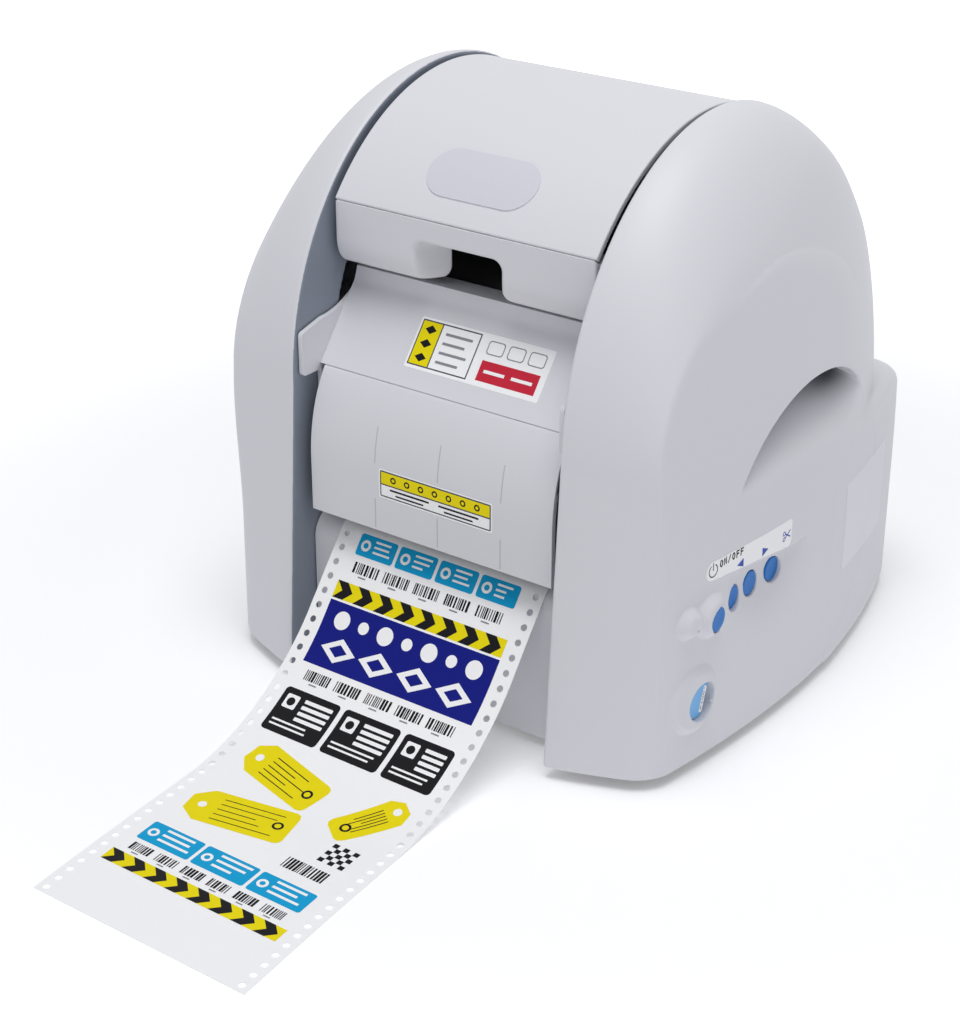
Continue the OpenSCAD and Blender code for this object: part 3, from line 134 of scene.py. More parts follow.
def finish(name, colour, rough, group=None, scale=900.0, drift=0.04, gloss_drift=0.08, bump=0.05,
           metallic=0.0, coat=0.0, specular=0.5):
    """One material with a shared surface effect set to its own values."""
    material = bpy.data.materials.new(name)
    material.use_nodes = True
    tree = material.node_tree
    shader = tree.nodes["Principled BSDF"]
    for label, value in (("Metallic", metallic), ("Coat Weight", coat), ("Specular IOR Level", specular)):
        shader.inputs[label].default_value = value
    effect = tree.nodes.new("ShaderNodeGroup")
    effect.node_tree = group or moulded_grain
    for label, value in (("Colour", linear(colour)), ("Roughness", rough), ("Scale", scale), ("Drift", drift),
                         ("Gloss drift", gloss_drift)):
        effect.inputs[label].default_value = value
    raise_grain = tree.nodes.new("ShaderNodeBump")
    raise_grain.inputs["Strength"].default_value = bump
    raise_grain.inputs["Distance"].default_value = GRAIN_DEPTH
    tree.links.new(effect.outputs["Colour"], shader.inputs["Base Color"])
    tree.links.new(effect.outputs["Roughness"], shader.inputs["Roughness"])
    tree.links.new(effect.outputs["Height"], raise_grain.inputs["Height"])
    tree.links.new(raise_grain.outputs["Normal"], shader.inputs["Normal"])
    material.diffuse_color = linear(colour)
    return material


print("middle grey in linear light", [round(c, 3) for c in linear("808080")])

# %% Plastics, metals and rubbers
shell_grey = finish("Housing grey plastic", "dcdce1", 0.48, scale=1400.0, drift=0.015, bump=0.04)
cheek_grey = finish("Cheek plastic with slate lining and painted grip shade", "dcdce1", 0.48, scale=1400.0, drift=0.015, bump=0.04)
badge_grey = finish("Badge grey plastic", "d2d3db", 0.4, scale=1400.0, drift=0.01, bump=0.01)
dark_base = finish("Dark base plastic", "3a3c40", 0.6, bump=0.12)
rubber_black = finish("Foot rubber", "1b1b1c", 0.8, scale=600.0, bump=0.2, specular=0.3)
rolled_steel = finish("Rolled steel", "b4b6ba", 0.32, brushed_lines, 1600.0, 0.06, 0.12, 0.08, metallic=1.0)
bright_alloy = finish("Bright alloy", "c6c8cc", 0.3, brushed_lines, 1200.0, 0.05, 0.1, 0.06, metallic=1.0)
turned_brass = finish("Turned brass", "c39a52", 0.28, brushed_lines, 1500.0, 0.06, 0.12, 0.06, metallic=1.0)
milky_nylon = finish("Milky nylon", "dedcd4", 0.45, drift=0.03, bump=0.03)
button_blue = finish("Button blue plastic", "1a74c6", 0.4, scale=1800.0, drift=0.03, bump=0.02, specular=0.25)
dial_blue = finish("Dial light blue plastic", "7cbdf2", 0.4, scale=1800.0, drift=0.03, bump=0.02,
                   specular=0.3)
lamp_clear = finish("Lamp lens", "dfe0e6", 0.3, scale=700.0, drift=0.02, bump=0.01, coat=0.3)
board_green = finish("Board green", "1f6b3a", 0.4, scale=500.0, drift=0.1, bump=0.05)
film_white = finish("Label film white", "fdfdfe", 0.45, scale=1200.0, drift=0.01, bump=0.015)
brown_card = finish("Brown card", "a58058", 0.85, scale=500.0, drift=0.14, bump=0.2)
black_plastic = finish("Black plastic", "1d1d1f", 0.5, bump=0.1)
ground_rubber = finish("Ground rubber", "26262a", 0.7, brushed_lines, 900.0, 0.08, 0.08, 0.15, specular=0.3)
motor_black = finish("Motor black paint", "26272a", 0.4, bump=0.08)
glazed_head = finish("Glazed head", "d8d6cc", 0.2, drift=0.03, bump=0.02, coat=0.3)
ribbon_black = finish("Ribbon film", "101013", 0.18, drift=0.05, bump=0.01)
socket_black = finish("Socket black plastic", "17171a", 0.42, bump=0.06)
print("finishes", len(bpy.data.materials))

# %% [markdown]
# The wall of the cheeks that faces the middle is slate grey, a colour of its own, and deep in the hand grip
# under its arch shade is painted into the colour. Two meshes with their own finish would leave a jagged seam
# on the curved edge, so masks made from the place on the cheek, in metres, mix the slate and the painted
# shade into the colour before it enters the shared effect.


# %% Slate lining and painted grip shade of the cheeks
# The grip's dark colour is painted shade: it stands for the shadow that falls under the grip's arch.
LINING_SLATE, GRIP_PAINTED_SHADE, LINING_X = "868e9b", "3c3e46", 0.06985
POCKET_MIDDLE, POCKET_EDGE, POCKET_FADE = (0.0, -0.001, 0.081), 0.0719, (0.046, 0.068)
POCKET_FLOOR_X, POCKET_RISE_Z = (0.106, 0.1165), (0.116, 0.138)


def ramp(tree, value, low, high, bottom=0.0, top=1.0):
    """A smooth rise from bottom at low to top at high."""
    node = tree.nodes.new("ShaderNodeMapRange")
    node.interpolation_type = "SMOOTHSTEP"
    tree.links.new(value, node.inputs["Value"])
    for label, number in zip(("From Min", "From Max", "To Min", "To Max"), (low, high, bottom, top)):
        node.inputs[label].default_value = number
    return node.outputs["Result"]


def line_and_shade_cheeks(material):
    """A slate lining on the wall next to the middle, and painted shade deep in the hand grip under its arch.
    """
    tree = material.node_tree
    effect = next(n for n in tree.nodes if n.type == "GROUP")
    place = tree.nodes.new("ShaderNodeTexCoord")
    split = tree.nodes.new("ShaderNodeSeparateXYZ")
    tree.links.new(place.outputs["Object"], split.inputs[0])
    out = add_math(tree, "ABSOLUTE", split.outputs["X"], 0.0)
    inner = add_math(tree, "LESS_THAN", out, LINING_X)
    flat, arch = (tree.nodes.new("ShaderNodeVectorMath") for _ in range(2))
    flat.operation, arch.operation = "MULTIPLY", "DISTANCE"
    flat.inputs[1].default_value, arch.inputs[1].default_value = (0.0, 1.0, 1.0), POCKET_MIDDLE
    tree.links.new(place.outputs["Object"], flat.inputs[0])
    tree.links.new(flat.outputs["Vector"], arch.inputs[0])
    radius = arch.outputs["Value"]
    # Mask of the painted shade: strongest deep in the grip near its arch's edge and high up, fading outwards,
    # away from the arch and downwards.
    deep = add_math(tree, "SUBTRACT", 1.0, ramp(tree, out, *POCKET_FLOOR_X))
    for mask in (ramp(tree, radius, *POCKET_FADE), ramp(tree, split.outputs["Z"], *POCKET_RISE_Z),
                 add_math(tree, "LESS_THAN", radius, POCKET_EDGE)):
        deep = add_math(tree, "MULTIPLY", deep, mask)
    colour = effect.inputs["Colour"].default_value[:]
    # The painted grip shade and then the slate lining are mixed into the cheek's colour.
    for factor, shade in ((deep, GRIP_PAINTED_SHADE), (inner, LINING_SLATE)):
        mix = tree.nodes.new("ShaderNodeMix")
        mix.data_type = "RGBA"
        tree.links.new(factor, mix.inputs["Factor"])
        if isinstance(colour, tuple):
            mix.inputs["A"].default_value = colour
        else:
            tree.links.new(colour, mix.inputs["A"])
        mix.inputs["B"].default_value = linear(shade)
        colour = mix.outputs["Result"]
    tree.links.new(colour, effect.inputs["Colour"])


line_and_shade_cheeks(cheek_grey)
print("cheek nodes", len(cheek_grey.node_tree.nodes))

# %% [markdown]
# ## Every solid gets a finish
# Most inner pieces keep their own solid. A table of finish to node names sets the material slots, and a
# node that is replaced later simply isn't seen.

# %% Finishes of the solids
finish_of = {
    shell_grey: "left_side_cover right_side_cover rear_cover lower_front_panel head_cover lid_shell lid_lip "
                "cutter_cover",
    badge_grey: "lid_badge",
    dark_base: "base_plate roll_flanges",
    rubber_black: "rubber_feet drive_belt cutting_mat",
    rolled_steel: "left_side_frame right_side_frame lid_pins cover_pins platen_shaft roll_shaft guide_rods "
                  "motor_bracket guide_bar head_pivot head_arm cutter_beam rear_screws dial_spindle "
                  "usb_socket",
    milky_nylon: "lid_bushings sprocket_wheels platen_gear",
    button_blue: "power_button back_button feed_button cut_button",
    lamp_clear: "status_lens",
    board_green: "button_board main_board",
    dial_blue: "dial_wheel",
    film_white: "label_sheet label_roll",
    brown_card: "roll_core",
    black_plastic: "ribbon_cassette supply_spool takeup_spool cutter_carriage",
    ground_rubber: "platen_roller",
    turned_brass: "motor_pinion blade_holder",
    motor_black: "feed_motor cutter_motor",
    bright_alloy: "heat_sink cutting_bed drive_pulley idler_pulley power_supply",
    glazed_head: "print_head",
    ribbon_black: "ribbon_film",
    socket_black: "power_inlet",
}
for material, names in finish_of.items():
    for name in names.split():
        mesh = nodes[name].data
        mesh.materials.clear()
        mesh.materials.append(material)
print("finished", sum(len(n.split()) for n in finish_of.values()), "of", len(nodes))

# %% [markdown]
# ## Helpers that turn points into pieces
# A piece is a mesh in the frame of the solids. One helper makes it from points and faces, gives it a
# finish, and lets it ride on a body of the printer. Another draws a profile in the Y-Z plane along X and
# rounds its edges with a bevel, the way most of the straight panels are moulded.


# %% Mesh helpers
def make_piece(name, points, faces, material, body="housing", slot="shell", stands_for=(), smooth_angle=35.0):
    """A mesh with its finish, riding on a body and standing for the solids that it replaces."""
    mesh = bpy.data.meshes.new(name)
    mesh.from_pydata([tuple(v) for v in np.asarray(points, float) * MM], [], [tuple(f) for f in faces])
    mesh.validate()
    mesh.polygons.foreach_set("use_smooth", [True] * len(mesh.polygons))
    if smooth_angle:
        mesh.set_sharp_from_angle(angle=math.radians(smooth_angle))
    mesh.materials.append(material)
    piece = bpy.data.objects.new(name, mesh)
    bpy.context.scene.collection.objects.link(piece)
    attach(piece, body)
    if stands_for:
        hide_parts(*stands_for)
    return piece


def round_edges(piece, width, segments=3, angle=40.0):
    bevel = piece.modifiers.new("Rounded edges", "BEVEL")
    bevel.width = width * MM
    bevel.segments = segments
    bevel.limit_method = "ANGLE"
    bevel.angle_limit = math.radians(angle)
    bevel.harden_normals = False
    return piece


def prism(profile, x0, x1):
    """Points and faces of a Y-Z profile drawn from x0 to x1."""
    n = len(profile)
    area = sum(profile[i - 1][0] * profile[i][1] - profile[i][0] * profile[i - 1][1] for i in range(n))
    ring = list(profile) if area > 0 else list(profile)[::-1]
    points = [(x0, y, z) for y, z in ring] + [(x1, y, z) for y, z in ring]
    faces = [[i, (i + 1) % n, n + (i + 1) % n, n + i] for i in range(n)]
    return points, faces + [list(range(n))[::-1], list(range(n, 2 * n))]


def gather(*parts):
    """Several sets of points and faces as one."""
    points, faces = [], []
    for part_points, part_faces in parts:
        faces += [[i + len(points) for i in f] for f in part_faces]
        points += list(part_points)
    return points, faces


def closed_sheet(upper, lower, faces):
    """A sheet with two skins, closed along all of its loose edges."""
    n, sides = len(upper), {(a, b) for f in faces for a, b in zip(f, f[1:] + f[:1])}
    skins = [list(f) for f in faces] + [[i + n for i in f[::-1]] for f in faces]
    rims = [[b, a, a + n, b + n] for a, b in sorted(sides) if (b, a) not in sides]
    return np.vstack([upper, lower]), skins + rims


def cell_box(x0, x1, y0, y1, z0, z1):
    """A plain rib as a short profile."""
    return prism([(y0, z0), (y1, z0), (y1, z1), (y0, z1)], x0, x1)


print("helpers ready")

# %% [markdown]
# ## The domed side covers
# The cheeks are the printer's face: an arched rim, a shoulder that rolls over from the flat inner side to a
# barrel-shaped outer panel, and a soft crease between them that fades towards the desk. Such a form could
# be built from patches, but the finger grip, the dish round the buttons and the lamp's bezel would each
# need their own seams. Here the cover is written as one field instead: a number at each point of space that
# is negative inside the plastic. Rounded edges come from a smooth maximum of two fields, and a grid of
# cells then turns the field into a mesh.


# %% Smooth maximum and steps
def smooth_max(a, b, width):
    """The larger of two fields, with their corner rounded over a width."""
    h = np.clip(0.5 + 0.5 * (a - b) / width, 0.0, 1.0)
    return b + (a - b) * h + width * h * (1.0 - h)


def smooth_min(a, b, width):
    return -smooth_max(-a, -b, width)


def step(low, high, value):
    """A smooth rise from 0 at low to 1 at high."""
    t = np.clip((value - low) / (high - low), 0.0, 1.0)
    return t * t * (3.0 - 2.0 * t)


print("blend of two equal fields", smooth_max(0.0, 0.0, 4.0))

# %% [markdown]
# The sizes follow the solids: the rim's place, the arch, the barrel of the outer panel, the low block at
# the back and the grip. The shoulder, the grip and the dish cut a little deeper, and a low hood stands round
# the dial in place of a bowl. The buttons, the lamp and the dial sit on the right cheek only.

# %% Sizes of the side cover
DESK_GAP, INNER_X, HALF_W, WALL = 5.0, 69.5, 123.8, 3.0
FRONT_Y, REAR_Y, DOME_REAR_Y, CROWN_Y, CROWN_Z = -129.0, 129.0, 109.0, -7.998, 263.0
ARCH_Z, REAR_ARCH_Z, BLOCK_TOP = 139.934, 114.908, 112.0
HINGE_Y, HINGE_Z = 84.757, 179.865
GRIP_Y, GRIP_Z, GRIP_R, GRIP_CREST, GRIP_DEPTH = -0.998, 81.0, 72.0, 117.0, 27.0
GRIP_RISE, GRIP_FADE, WINDOW_RIM, BUSH_R = 38.0, (20.0, 66.0), 26.0, 6.7
BUTTON_YS, BUTTON_Z, BUTTON_HOLE_R = (-78.498, -58.498, -42.998, -25.998), 71.0, 5.8
LAMP_Y, LAMP_Z, LAMP_HOLE_R = -91.498, 73.5, 2.35
BEZEL_RISE, BEZEL_FIRST_R, BEZEL_LAMP_R = 2.6, 10.4, 7.6
DIAL_Y, DIAL_Z, DIAL_R, HOOD_R, HOOD_RISE = -84.498, 34.0, 8.5, 16.0, 2.2
SCOOP_Y, SCOOP_Z, SCOOP_AXES, SCOOP_DEPTH = -41.998, 78.0, (20.0, 47.0, 37.0), 7.0
BARREL_R, BARREL_REAR_R, LEAN_FROM, LEAN_IN, LEAN_TALL = 560.0, 370.0, 65.0, 11.0, 160.0
SHOULDER_W, SHOULDER_DROP, SHOULDER_TURN, RIM_LEAN = 43.5, 48.0, 0.8, 9.0
FRONT_DRAW, BACK_DRAW, DRAW_SLOPE, DOME_INSET = 16.0, 9.0, 0.44, 9.0


def barrel_radius(y):
    return np.where(y < CROWN_Y, BARREL_R, BARREL_REAR_R)


def barrel_x(y):
    """Half the printer's width at y, low on the outer panel."""
    return HALF_W - (y - CROWN_Y) ** 2 / (2.0 * barrel_radius(y))


DIAL_FACE_X = float(barrel_x(DIAL_Y)) - 2.5
SCOOP_X = float(barrel_x(SCOOP_Y)) + SCOOP_AXES[0] - SCOOP_DEPTH
print("cheek half width at the dial", DIAL_FACE_X + 2.5)


# %% [markdown]
# The arch is an ellipse in each upright slice. Its height falls and its front draws back as the slice moves
# outwards, which makes the rolled shoulder. The radial distance is divided by the slope across X, so that
# the field is close to a true distance and walls keep their thickness.


# %% Field of the arch
def arch_field(x, y, z):
    u = np.clip((x - INNER_X) / SHOULDER_W, 0.0, 1.0)
    bite = np.sqrt(1.0 - (SHOULDER_TURN * u) ** 2)
    full_bite = 1.0 - math.sqrt(1.0 - SHOULDER_TURN ** 2)
    top = CROWN_Z - SHOULDER_DROP * (1.0 - bite) / full_bite
    top_slope = SHOULDER_DROP * SHOULDER_TURN ** 2 * u / bite / full_bite / SHOULDER_W
    lean = RIM_LEAN * (1.0 - 0.8 * u)
    low_front = FRONT_Y + FRONT_DRAW * u ** 1.2
    reach = CROWN_Y - low_front - lean * np.clip((z - DESK_GAP) / (ARCH_Z - DESK_GAP), 0.0, 1.0)
    back = DOME_REAR_Y - CROWN_Y - BACK_DRAW * u ** 2
    ahead = y < CROWN_Y
    span = np.where(ahead, reach, back)
    spring = np.where(ahead, ARCH_Z, REAR_ARCH_Z)
    up = np.clip(z - spring, 0.0, None)
    along = np.abs(y - CROWN_Y)
    share = np.sqrt((along / span) ** 2 + (up / (top - spring)) ** 2) + 1e-6
    radius = np.sqrt(along ** 2 + up ** 2) + 1e-6
    side_slope = top_slope * up / radius + DRAW_SLOPE * along / radius
    return radius * (share - 1.0) / share / np.sqrt(1.0 + side_slope ** 2)


print("field at the crown", float(arch_field(np.float64(70), np.float64(CROWN_Y), np.float64(CROWN_Z))))


# %% [markdown]
# The outer panel is a shallow barrel that leans in above the buttons. On the right cheek a raised bezel in
# the shape of an eight holds the lamp and the first button, and a low hood rises round the front of the
# dial.


# %% Field of the outer panel
def panel_field(x, y, z, controls):
    over = np.clip(z - LEAN_FROM, 0.0, None)
    skin = barrel_x(y) - LEAN_IN * (over / LEAN_TALL) ** 2
    lean_y = (y - CROWN_Y) / barrel_radius(y)
    lean_z = 2.0 * LEAN_IN * over / LEAN_TALL ** 2
    if controls:
        first = np.sqrt((y - BUTTON_YS[0] + 1.2) ** 2 + (z - BUTTON_Z - 1.6) ** 2) - BEZEL_FIRST_R
        lamp = np.sqrt((y - LAMP_Y + 3.0) ** 2 + (z - LAMP_Z - 1.0) ** 2) - BEZEL_LAMP_R
        blob = smooth_min(first, lamp, 3.0)
        skin = skin + (BEZEL_RISE + 1.6) * (1.0 - step(-4.2, 0.3, blob))
        hood = np.sqrt((y - DIAL_Y + 4.0) ** 2 + (z - DIAL_Z - 2.0) ** 2) - HOOD_R
        skin = skin + HOOD_RISE * (1.0 - step(-4.0, 0.3, hood)) * (1.0 - step(4.0, 13.0, y - DIAL_Y))
    return (x - skin) / np.sqrt(1.0 + lean_y ** 2 + lean_z ** 2)


print("panel field on the skin", float(panel_field(*(np.float64(v) for v in (HALF_W, CROWN_Y, 40)), False)))


# %% [markdown]
# The dome draws in towards the back, so the block behind it shows a ledge that widens. The crease is crisp
# in front and softer towards the desk, the back and the crown. Dome and block are joined, the grip is
# scooped out under a crisp arch, and the wall is hollowed to its thickness. The large window in the inner
# wall lets the motor and the boards reach into the cheek.


# %% Field of the whole side cover
def cover_field(x, y, z, controls):
    panel = panel_field(x, y, z, controls)
    crease = 1.0 + 9.0 * (1.0 - step(64.0, 132.0, z))
    crease = crease + 12.0 * step(-40.0, 50.0, y) + 2.0 * step(192.0, 212.0, z)
    dome = smooth_max(arch_field(x, y, z), panel + DOME_INSET * step(20.0, 115.0, y), crease)
    block = smooth_max(smooth_max(y - REAR_Y, panel, 15.0), z - BLOCK_TOP, 6.0)
    block = np.maximum(block, 20.0 - y)
    body = smooth_min(dome, block, 2.0)
    ring = np.sqrt((y - GRIP_Y) ** 2 + (z - GRIP_Z) ** 2) - GRIP_R
    deep = GRIP_DEPTH * step(GRIP_CREST, GRIP_CREST + GRIP_RISE, z) * (1.0 - step(*GRIP_FADE, y))
    floor = -panel_field(x, y, z, False) - deep
    grip = smooth_max(ring, floor, 2.0)
    body = smooth_max(body, -grip, 1.4)
    if controls:
        ax, ay, az = SCOOP_AXES
        scoop = np.sqrt(((x - SCOOP_X) / ax) ** 2 + ((y - SCOOP_Y) / ay) ** 2 + ((z - SCOOP_Z) / az) ** 2)
        edge = z - 81.8 - 0.1 * np.clip(-19.0 - y, 0.0, None)
        soft = 0.8 + 2.6 * (1.0 - step(72.0, 82.0, z))
        body = smooth_max(body, -smooth_max(ax * (scoop - 1.0), edge, 1.0), soft)
        from_dial = np.sqrt((y - DIAL_Y) ** 2 + (z - DIAL_Z) ** 2)
        body = smooth_max(body, -smooth_max(from_dial - DIAL_R - 0.4, DIAL_FACE_X - 1.6 - x, 1.0), 0.8)
    hollow = np.maximum(body + WALL, INNER_X + WALL - x)
    window = np.maximum(arch_field(np.full_like(x, INNER_X), y, z) + WINDOW_RIM, x - INNER_X - WALL - 1.0)
    bush = np.maximum(np.sqrt((y - HINGE_Y) ** 2 + (z - HINGE_Z) ** 2) - BUSH_R, x - INNER_X - 8.5)
    skin = smooth_max(smooth_max(body, INNER_X - x, 2.0), DESK_GAP - z, 2.4)
    skin = np.maximum(skin, -np.minimum(np.minimum(hollow, window), bush))
    if controls:
        holes = [(BUTTON_Z, by, BUTTON_HOLE_R) for by in BUTTON_YS]
        holes += [(LAMP_Z, LAMP_Y, LAMP_HOLE_R), (DIAL_Z, DIAL_Y, 3.4)]
        for hole_z, hole_y, hole_r in holes:
            hole = np.sqrt((y - hole_y) ** 2 + (z - hole_z) ** 2) - hole_r
            skin = smooth_max(skin, -np.maximum(hole, 100.0 - x), 0.5)
    return skin


print("inside the wall", float(cover_field(*(np.float64(v) for v in (122.5, 0.0, 50.0)), False)))

# %% [markdown]
# A grid of cells finds where the field changes sign. Each cell that the surface crosses gets one point, the
# mean of the crossings on its edges, and neighbouring points join into quads. Three steps along the
# field's own slope then bring every point onto the surface, and that slope is also the shading normal. The
# grid is finer where the buttons and the dial are.


# %% Field to mesh
def field_mesh(field, grid):
    """Quads where the field changes sign, one point in each cell that the surface crosses."""
    axes = [g.astype(float) for g in grid]
    x, y, z = axes[0][:, None, None], axes[1][None, :, None], axes[2][None, None, :]
    value = np.broadcast_to(field(x, y, z), [len(g) for g in axes])
    inside = value < 0
    shape = tuple(len(g) - 1 for g in axes)
    total, count = np.zeros(shape + (3,)), np.zeros(shape, int)
    crossings = []
    for a in range(3):
        low = [slice(None)] * 3
        high = [slice(None)] * 3
        low[a], high[a] = slice(0, -1), slice(1, None)
        spot = np.nonzero(inside[tuple(low)] != inside[tuple(high)])
        after = tuple(s + (k == a) for k, s in enumerate(spot))
        f0, f1 = value[spot], value[after]
        point = np.stack([axes[k][spot[k]] for k in range(3)], axis=1)
        point[:, a] += (axes[a][spot[a] + 1] - axes[a][spot[a]]) * f0 / (f0 - f1)
        crossings.append((a, spot, f0 < 0))
        u, v = (a + 1) % 3, (a + 2) % 3
        for du in (0, 1):
            for dv in (0, 1):
                cell = list(spot)
                cell[u], cell[v] = spot[u] - du, spot[v] - dv
                fits = (cell[u] >= 0) & (cell[v] >= 0) & (cell[u] < shape[u]) & (cell[v] < shape[v])
                where = tuple(c[fits] for c in cell)
                np.add.at(total, where, point[fits])
                np.add.at(count, where, 1)
    number = np.full(shape, -1)
    used = count > 0
    number[used] = np.arange(used.sum())
    points = total[used] / count[used][:, None]
    faces = []
    for a, spot, outward in crossings:
        u, v = (a + 1) % 3, (a + 2) % 3
        corners = []
        for du, dv in ((1, 1), (0, 1), (0, 0), (1, 0)):
            cell = list(spot)
            cell[u], cell[v] = spot[u] - du, spot[v] - dv
            corners.append(number[tuple(cell)])
        quad = np.stack(corners, axis=1)
        quad[~outward] = quad[~outward][:, ::-1]
        faces.append(quad)
    return points, np.concatenate(faces)


def settle(field, points, rounds=3, reach=0.05):
    """Points moved along the slope of the field onto its surface, and the slope there."""
    for turn in range(rounds + 1):
        here = field(*points.T)
        slope = np.stack([field(*(points + reach * axis).T) - field(*(points - reach * axis).T)
                          for axis in np.eye(3)], axis=1) / (2 * reach)
        length = np.linalg.norm(slope, axis=1)[:, None] + 1e-9
        if turn < rounds:
            points = points - np.clip(here[:, None] / length, -0.6, 0.6) * slope / length
    return points, slope / length


def field_piece(name, field, grid, material, mirrored=False, **options):
    """A piece from a field, on the right of the printer or mirrored to the left."""
    points, faces = field_mesh(field, grid)
    points, normals = settle(field, points)
    if mirrored:
        points, normals, faces = points * (-1, 1, 1), normals * (-1, 1, 1), faces[:, ::-1]
    piece = make_piece(name, points, faces.tolist(), material, smooth_angle=None, **options)
    piece.data.normals_split_custom_set_from_vertices([tuple(n) for n in normals])
    print(name, len(points), "points", len(faces), "quads")


# %% Side covers
def spread(*runs):
    """Grid lines from runs of (start, end, spacing)."""
    lines = [np.linspace(a, b, int(round((b - a) / s)), endpoint=False) for a, b, s in runs]
    return np.concatenate(lines + [np.array([runs[-1][1]])])


across = spread((68.2, 76.0, 0.8), (76.0, 88.0, 1.7), (88.0, 126.6, 0.8))
grip_and_above = ((114.0, 158.0, 0.9), (158.0, 265.0, 1.7))
coarse = (across, spread((-131.0, 131.3, 1.4)),
          spread((3.0, 12.0, 0.9), (12.0, 114.0, 1.7), *grip_and_above))
fine = (across, spread((-131.0, -108.0, 1.6), (-108.0, -12.0, 0.7), (-12.0, 64.0, 1.0), (64.0, 131.3, 1.7)),
        spread((3.0, 12.0, 0.9), (12.0, 18.0, 1.5), (18.0, 88.0, 0.7), (88.0, 114.0, 1.5), *grip_and_above))
field_piece("right_cheek", lambda x, y, z: cover_field(x, y, z, True), fine, cheek_grey,
            stands_for=("right_side_cover",))
field_piece("left_cheek", lambda x, y, z: cover_field(x, y, z, False), coarse, cheek_grey,
            mirrored=True, stands_for=("left_side_cover",))

# %% [markdown]
# ## The lid
# The lid bridges the two cheeks and follows the same arch a little lower, from its front seam over the
# crown to the hinge at the back. In section it is a strip of even thickness, so it is drawn as a profile
# along X with many points on the arch, and a bevel softens the edges that a hand would touch. Four
# stiffening ribs and the hinge barrel are seen when it stands open.

# %% Lid shell
LID_HALF, LID_WALL, LID_START, LID_STOP = 66.5, 3.0, 40.52, 152.0
LID_SINK = 1.5
LID_FRONT = (CROWN_Y - FRONT_Y - RIM_LEAN - LID_SINK, CROWN_Z - ARCH_Z - LID_SINK)
LID_BACK = (DOME_REAR_Y - CROWN_Y - LID_SINK, CROWN_Z - REAR_ARCH_Z - LID_SINK)
SEAM_Y, SEAM_Z = -92.0, ARCH_Z + LID_FRONT[1] * math.sin(math.radians(LID_START))


def lid_point(degrees, inset):
    """A point of the lid's arch, front ellipse first and rear ellipse past the crown."""
    t = math.radians(degrees)
    (a, b), spring = (LID_FRONT, ARCH_Z) if degrees <= 90.0 else (LID_BACK, REAR_ARCH_Z)
    return CROWN_Y - (a - inset) * math.cos(t), spring + (b - inset) * math.sin(t)


def lid_arc(inset, count, start=LID_START, stop=LID_STOP):
    return [lid_point(start + (stop - start) * i / count, inset) for i in range(count + 1)]


def turned_bar(radius, x0, x1, y, z, sides=48):
    ring = [(y + radius * math.cos(2 * math.pi * i / sides), z + radius * math.sin(2 * math.pi * i / sides))
            for i in range(sides)]
    return prism(ring, x0, x1)


ARCH_STEPS, RIB_ARC, RIB_T, HINGE_R = 110, (40, 63.7, 142.7), 2.0, 10.0
lid_strip = lid_arc(0.0, ARCH_STEPS) + lid_arc(LID_WALL, ARCH_STEPS)[::-1]
lid_parts = [prism(lid_strip, -LID_HALF, LID_HALF)]
lid_parts.append(turned_bar(HINGE_R, -LID_HALF, LID_HALF, HINGE_Y, HINGE_Z))
for rib_x in (-65.5, 63.5, -22.0, 20.0):
    rib = lid_arc(LID_WALL - 0.9, *RIB_ARC) + lid_arc(LID_WALL + 7.0, *RIB_ARC)[::-1]
    lid_parts.append(prism(rib, rib_x, rib_x + RIB_T))
lid_piece = make_piece("lid", *gather(*lid_parts), shell_grey, body="lid", stands_for=("lid_shell",))
round_edges(lid_piece, 0.7)
print("lid seam at", round(SEAM_Z, 2))

# %% [markdown]
# ## The lip under the lid
# A hollow lip closes the front of the lid, and a notch with rounded shoulders in its middle takes the
# fingertips. The notch runs through a curved section, so the lip is written as a field again: the section's
# outline, cut off at both ends, less the notch.


# %% Lid lip
def round_box(dy, dz, half_y, half_z, radius):
    """Distance to a rectangle with rounded corners."""
    qy, qz = np.abs(dy) - half_y + radius, np.abs(dz) - half_z + radius
    corner = np.sqrt(np.clip(qy, 0, None) ** 2 + np.clip(qz, 0, None) ** 2)
    return corner + np.minimum(np.maximum(qy, qz), 0) - radius


LIP_BOTTOM, LIP_BACK, LIP_ROUND, LIP_WALL = SEAM_Z - 30.5, -76.0, 13.0, 3.0
NOTCH_X, NOTCH_HALF, NOTCH_H, FLARE_R = -2.0, 30.0, 20.0, 7.0


def lip_field(x, y, z):
    front = smooth_max(SEAM_Y - y, LIP_BOTTOM - z, LIP_ROUND)
    roof = z - (SEAM_Z - 0.3 - 0.85 * np.clip(y - SEAM_Y, 0.0, 3.4))
    section = smooth_max(np.maximum(front, y - LIP_BACK), roof, 0.6)
    hollow = np.maximum(np.maximum(front + LIP_WALL, y - LIP_BACK + 2.0), z - SEAM_Z + 6.4)
    inside, across = np.abs(x), np.abs(x - NOTCH_X)
    half = NOTCH_HALF - 0.6 * np.clip(y - SEAM_Y, 0.0, 16.0)
    throat = round_box(x - NOTCH_X, z - LIP_BOTTOM + 20.0, half - FLARE_R, 20.0 + NOTCH_H, 5.0)
    flare = np.maximum(z - LIP_BOTTOM - FLARE_R, across - half)
    flare = np.maximum(flare, FLARE_R - np.sqrt((across - half) ** 2 + (z - LIP_BOTTOM - FLARE_R) ** 2))
    notch = np.minimum(throat, flare)
    walled = np.maximum(hollow, LIP_WALL - notch)
    solid = smooth_max(section, inside - LID_HALF, 1.2)
    return smooth_max(np.maximum(solid, -np.maximum(walled, inside - LID_HALF + 2.0)), -notch, 1.6)


lip_grid = (spread((-67.2, -34.0, 1.2), (-34.0, 30.0, 0.7), (30.0, 67.2, 1.2)), spread((-93.0, -75.0, 0.7)),
            spread((LIP_BOTTOM - 1.0, SEAM_Z + 0.6, 0.7)))
field_piece("lid_front_lip", lip_field, lip_grid, shell_grey, body="lid", stands_for=("lid_lip",))

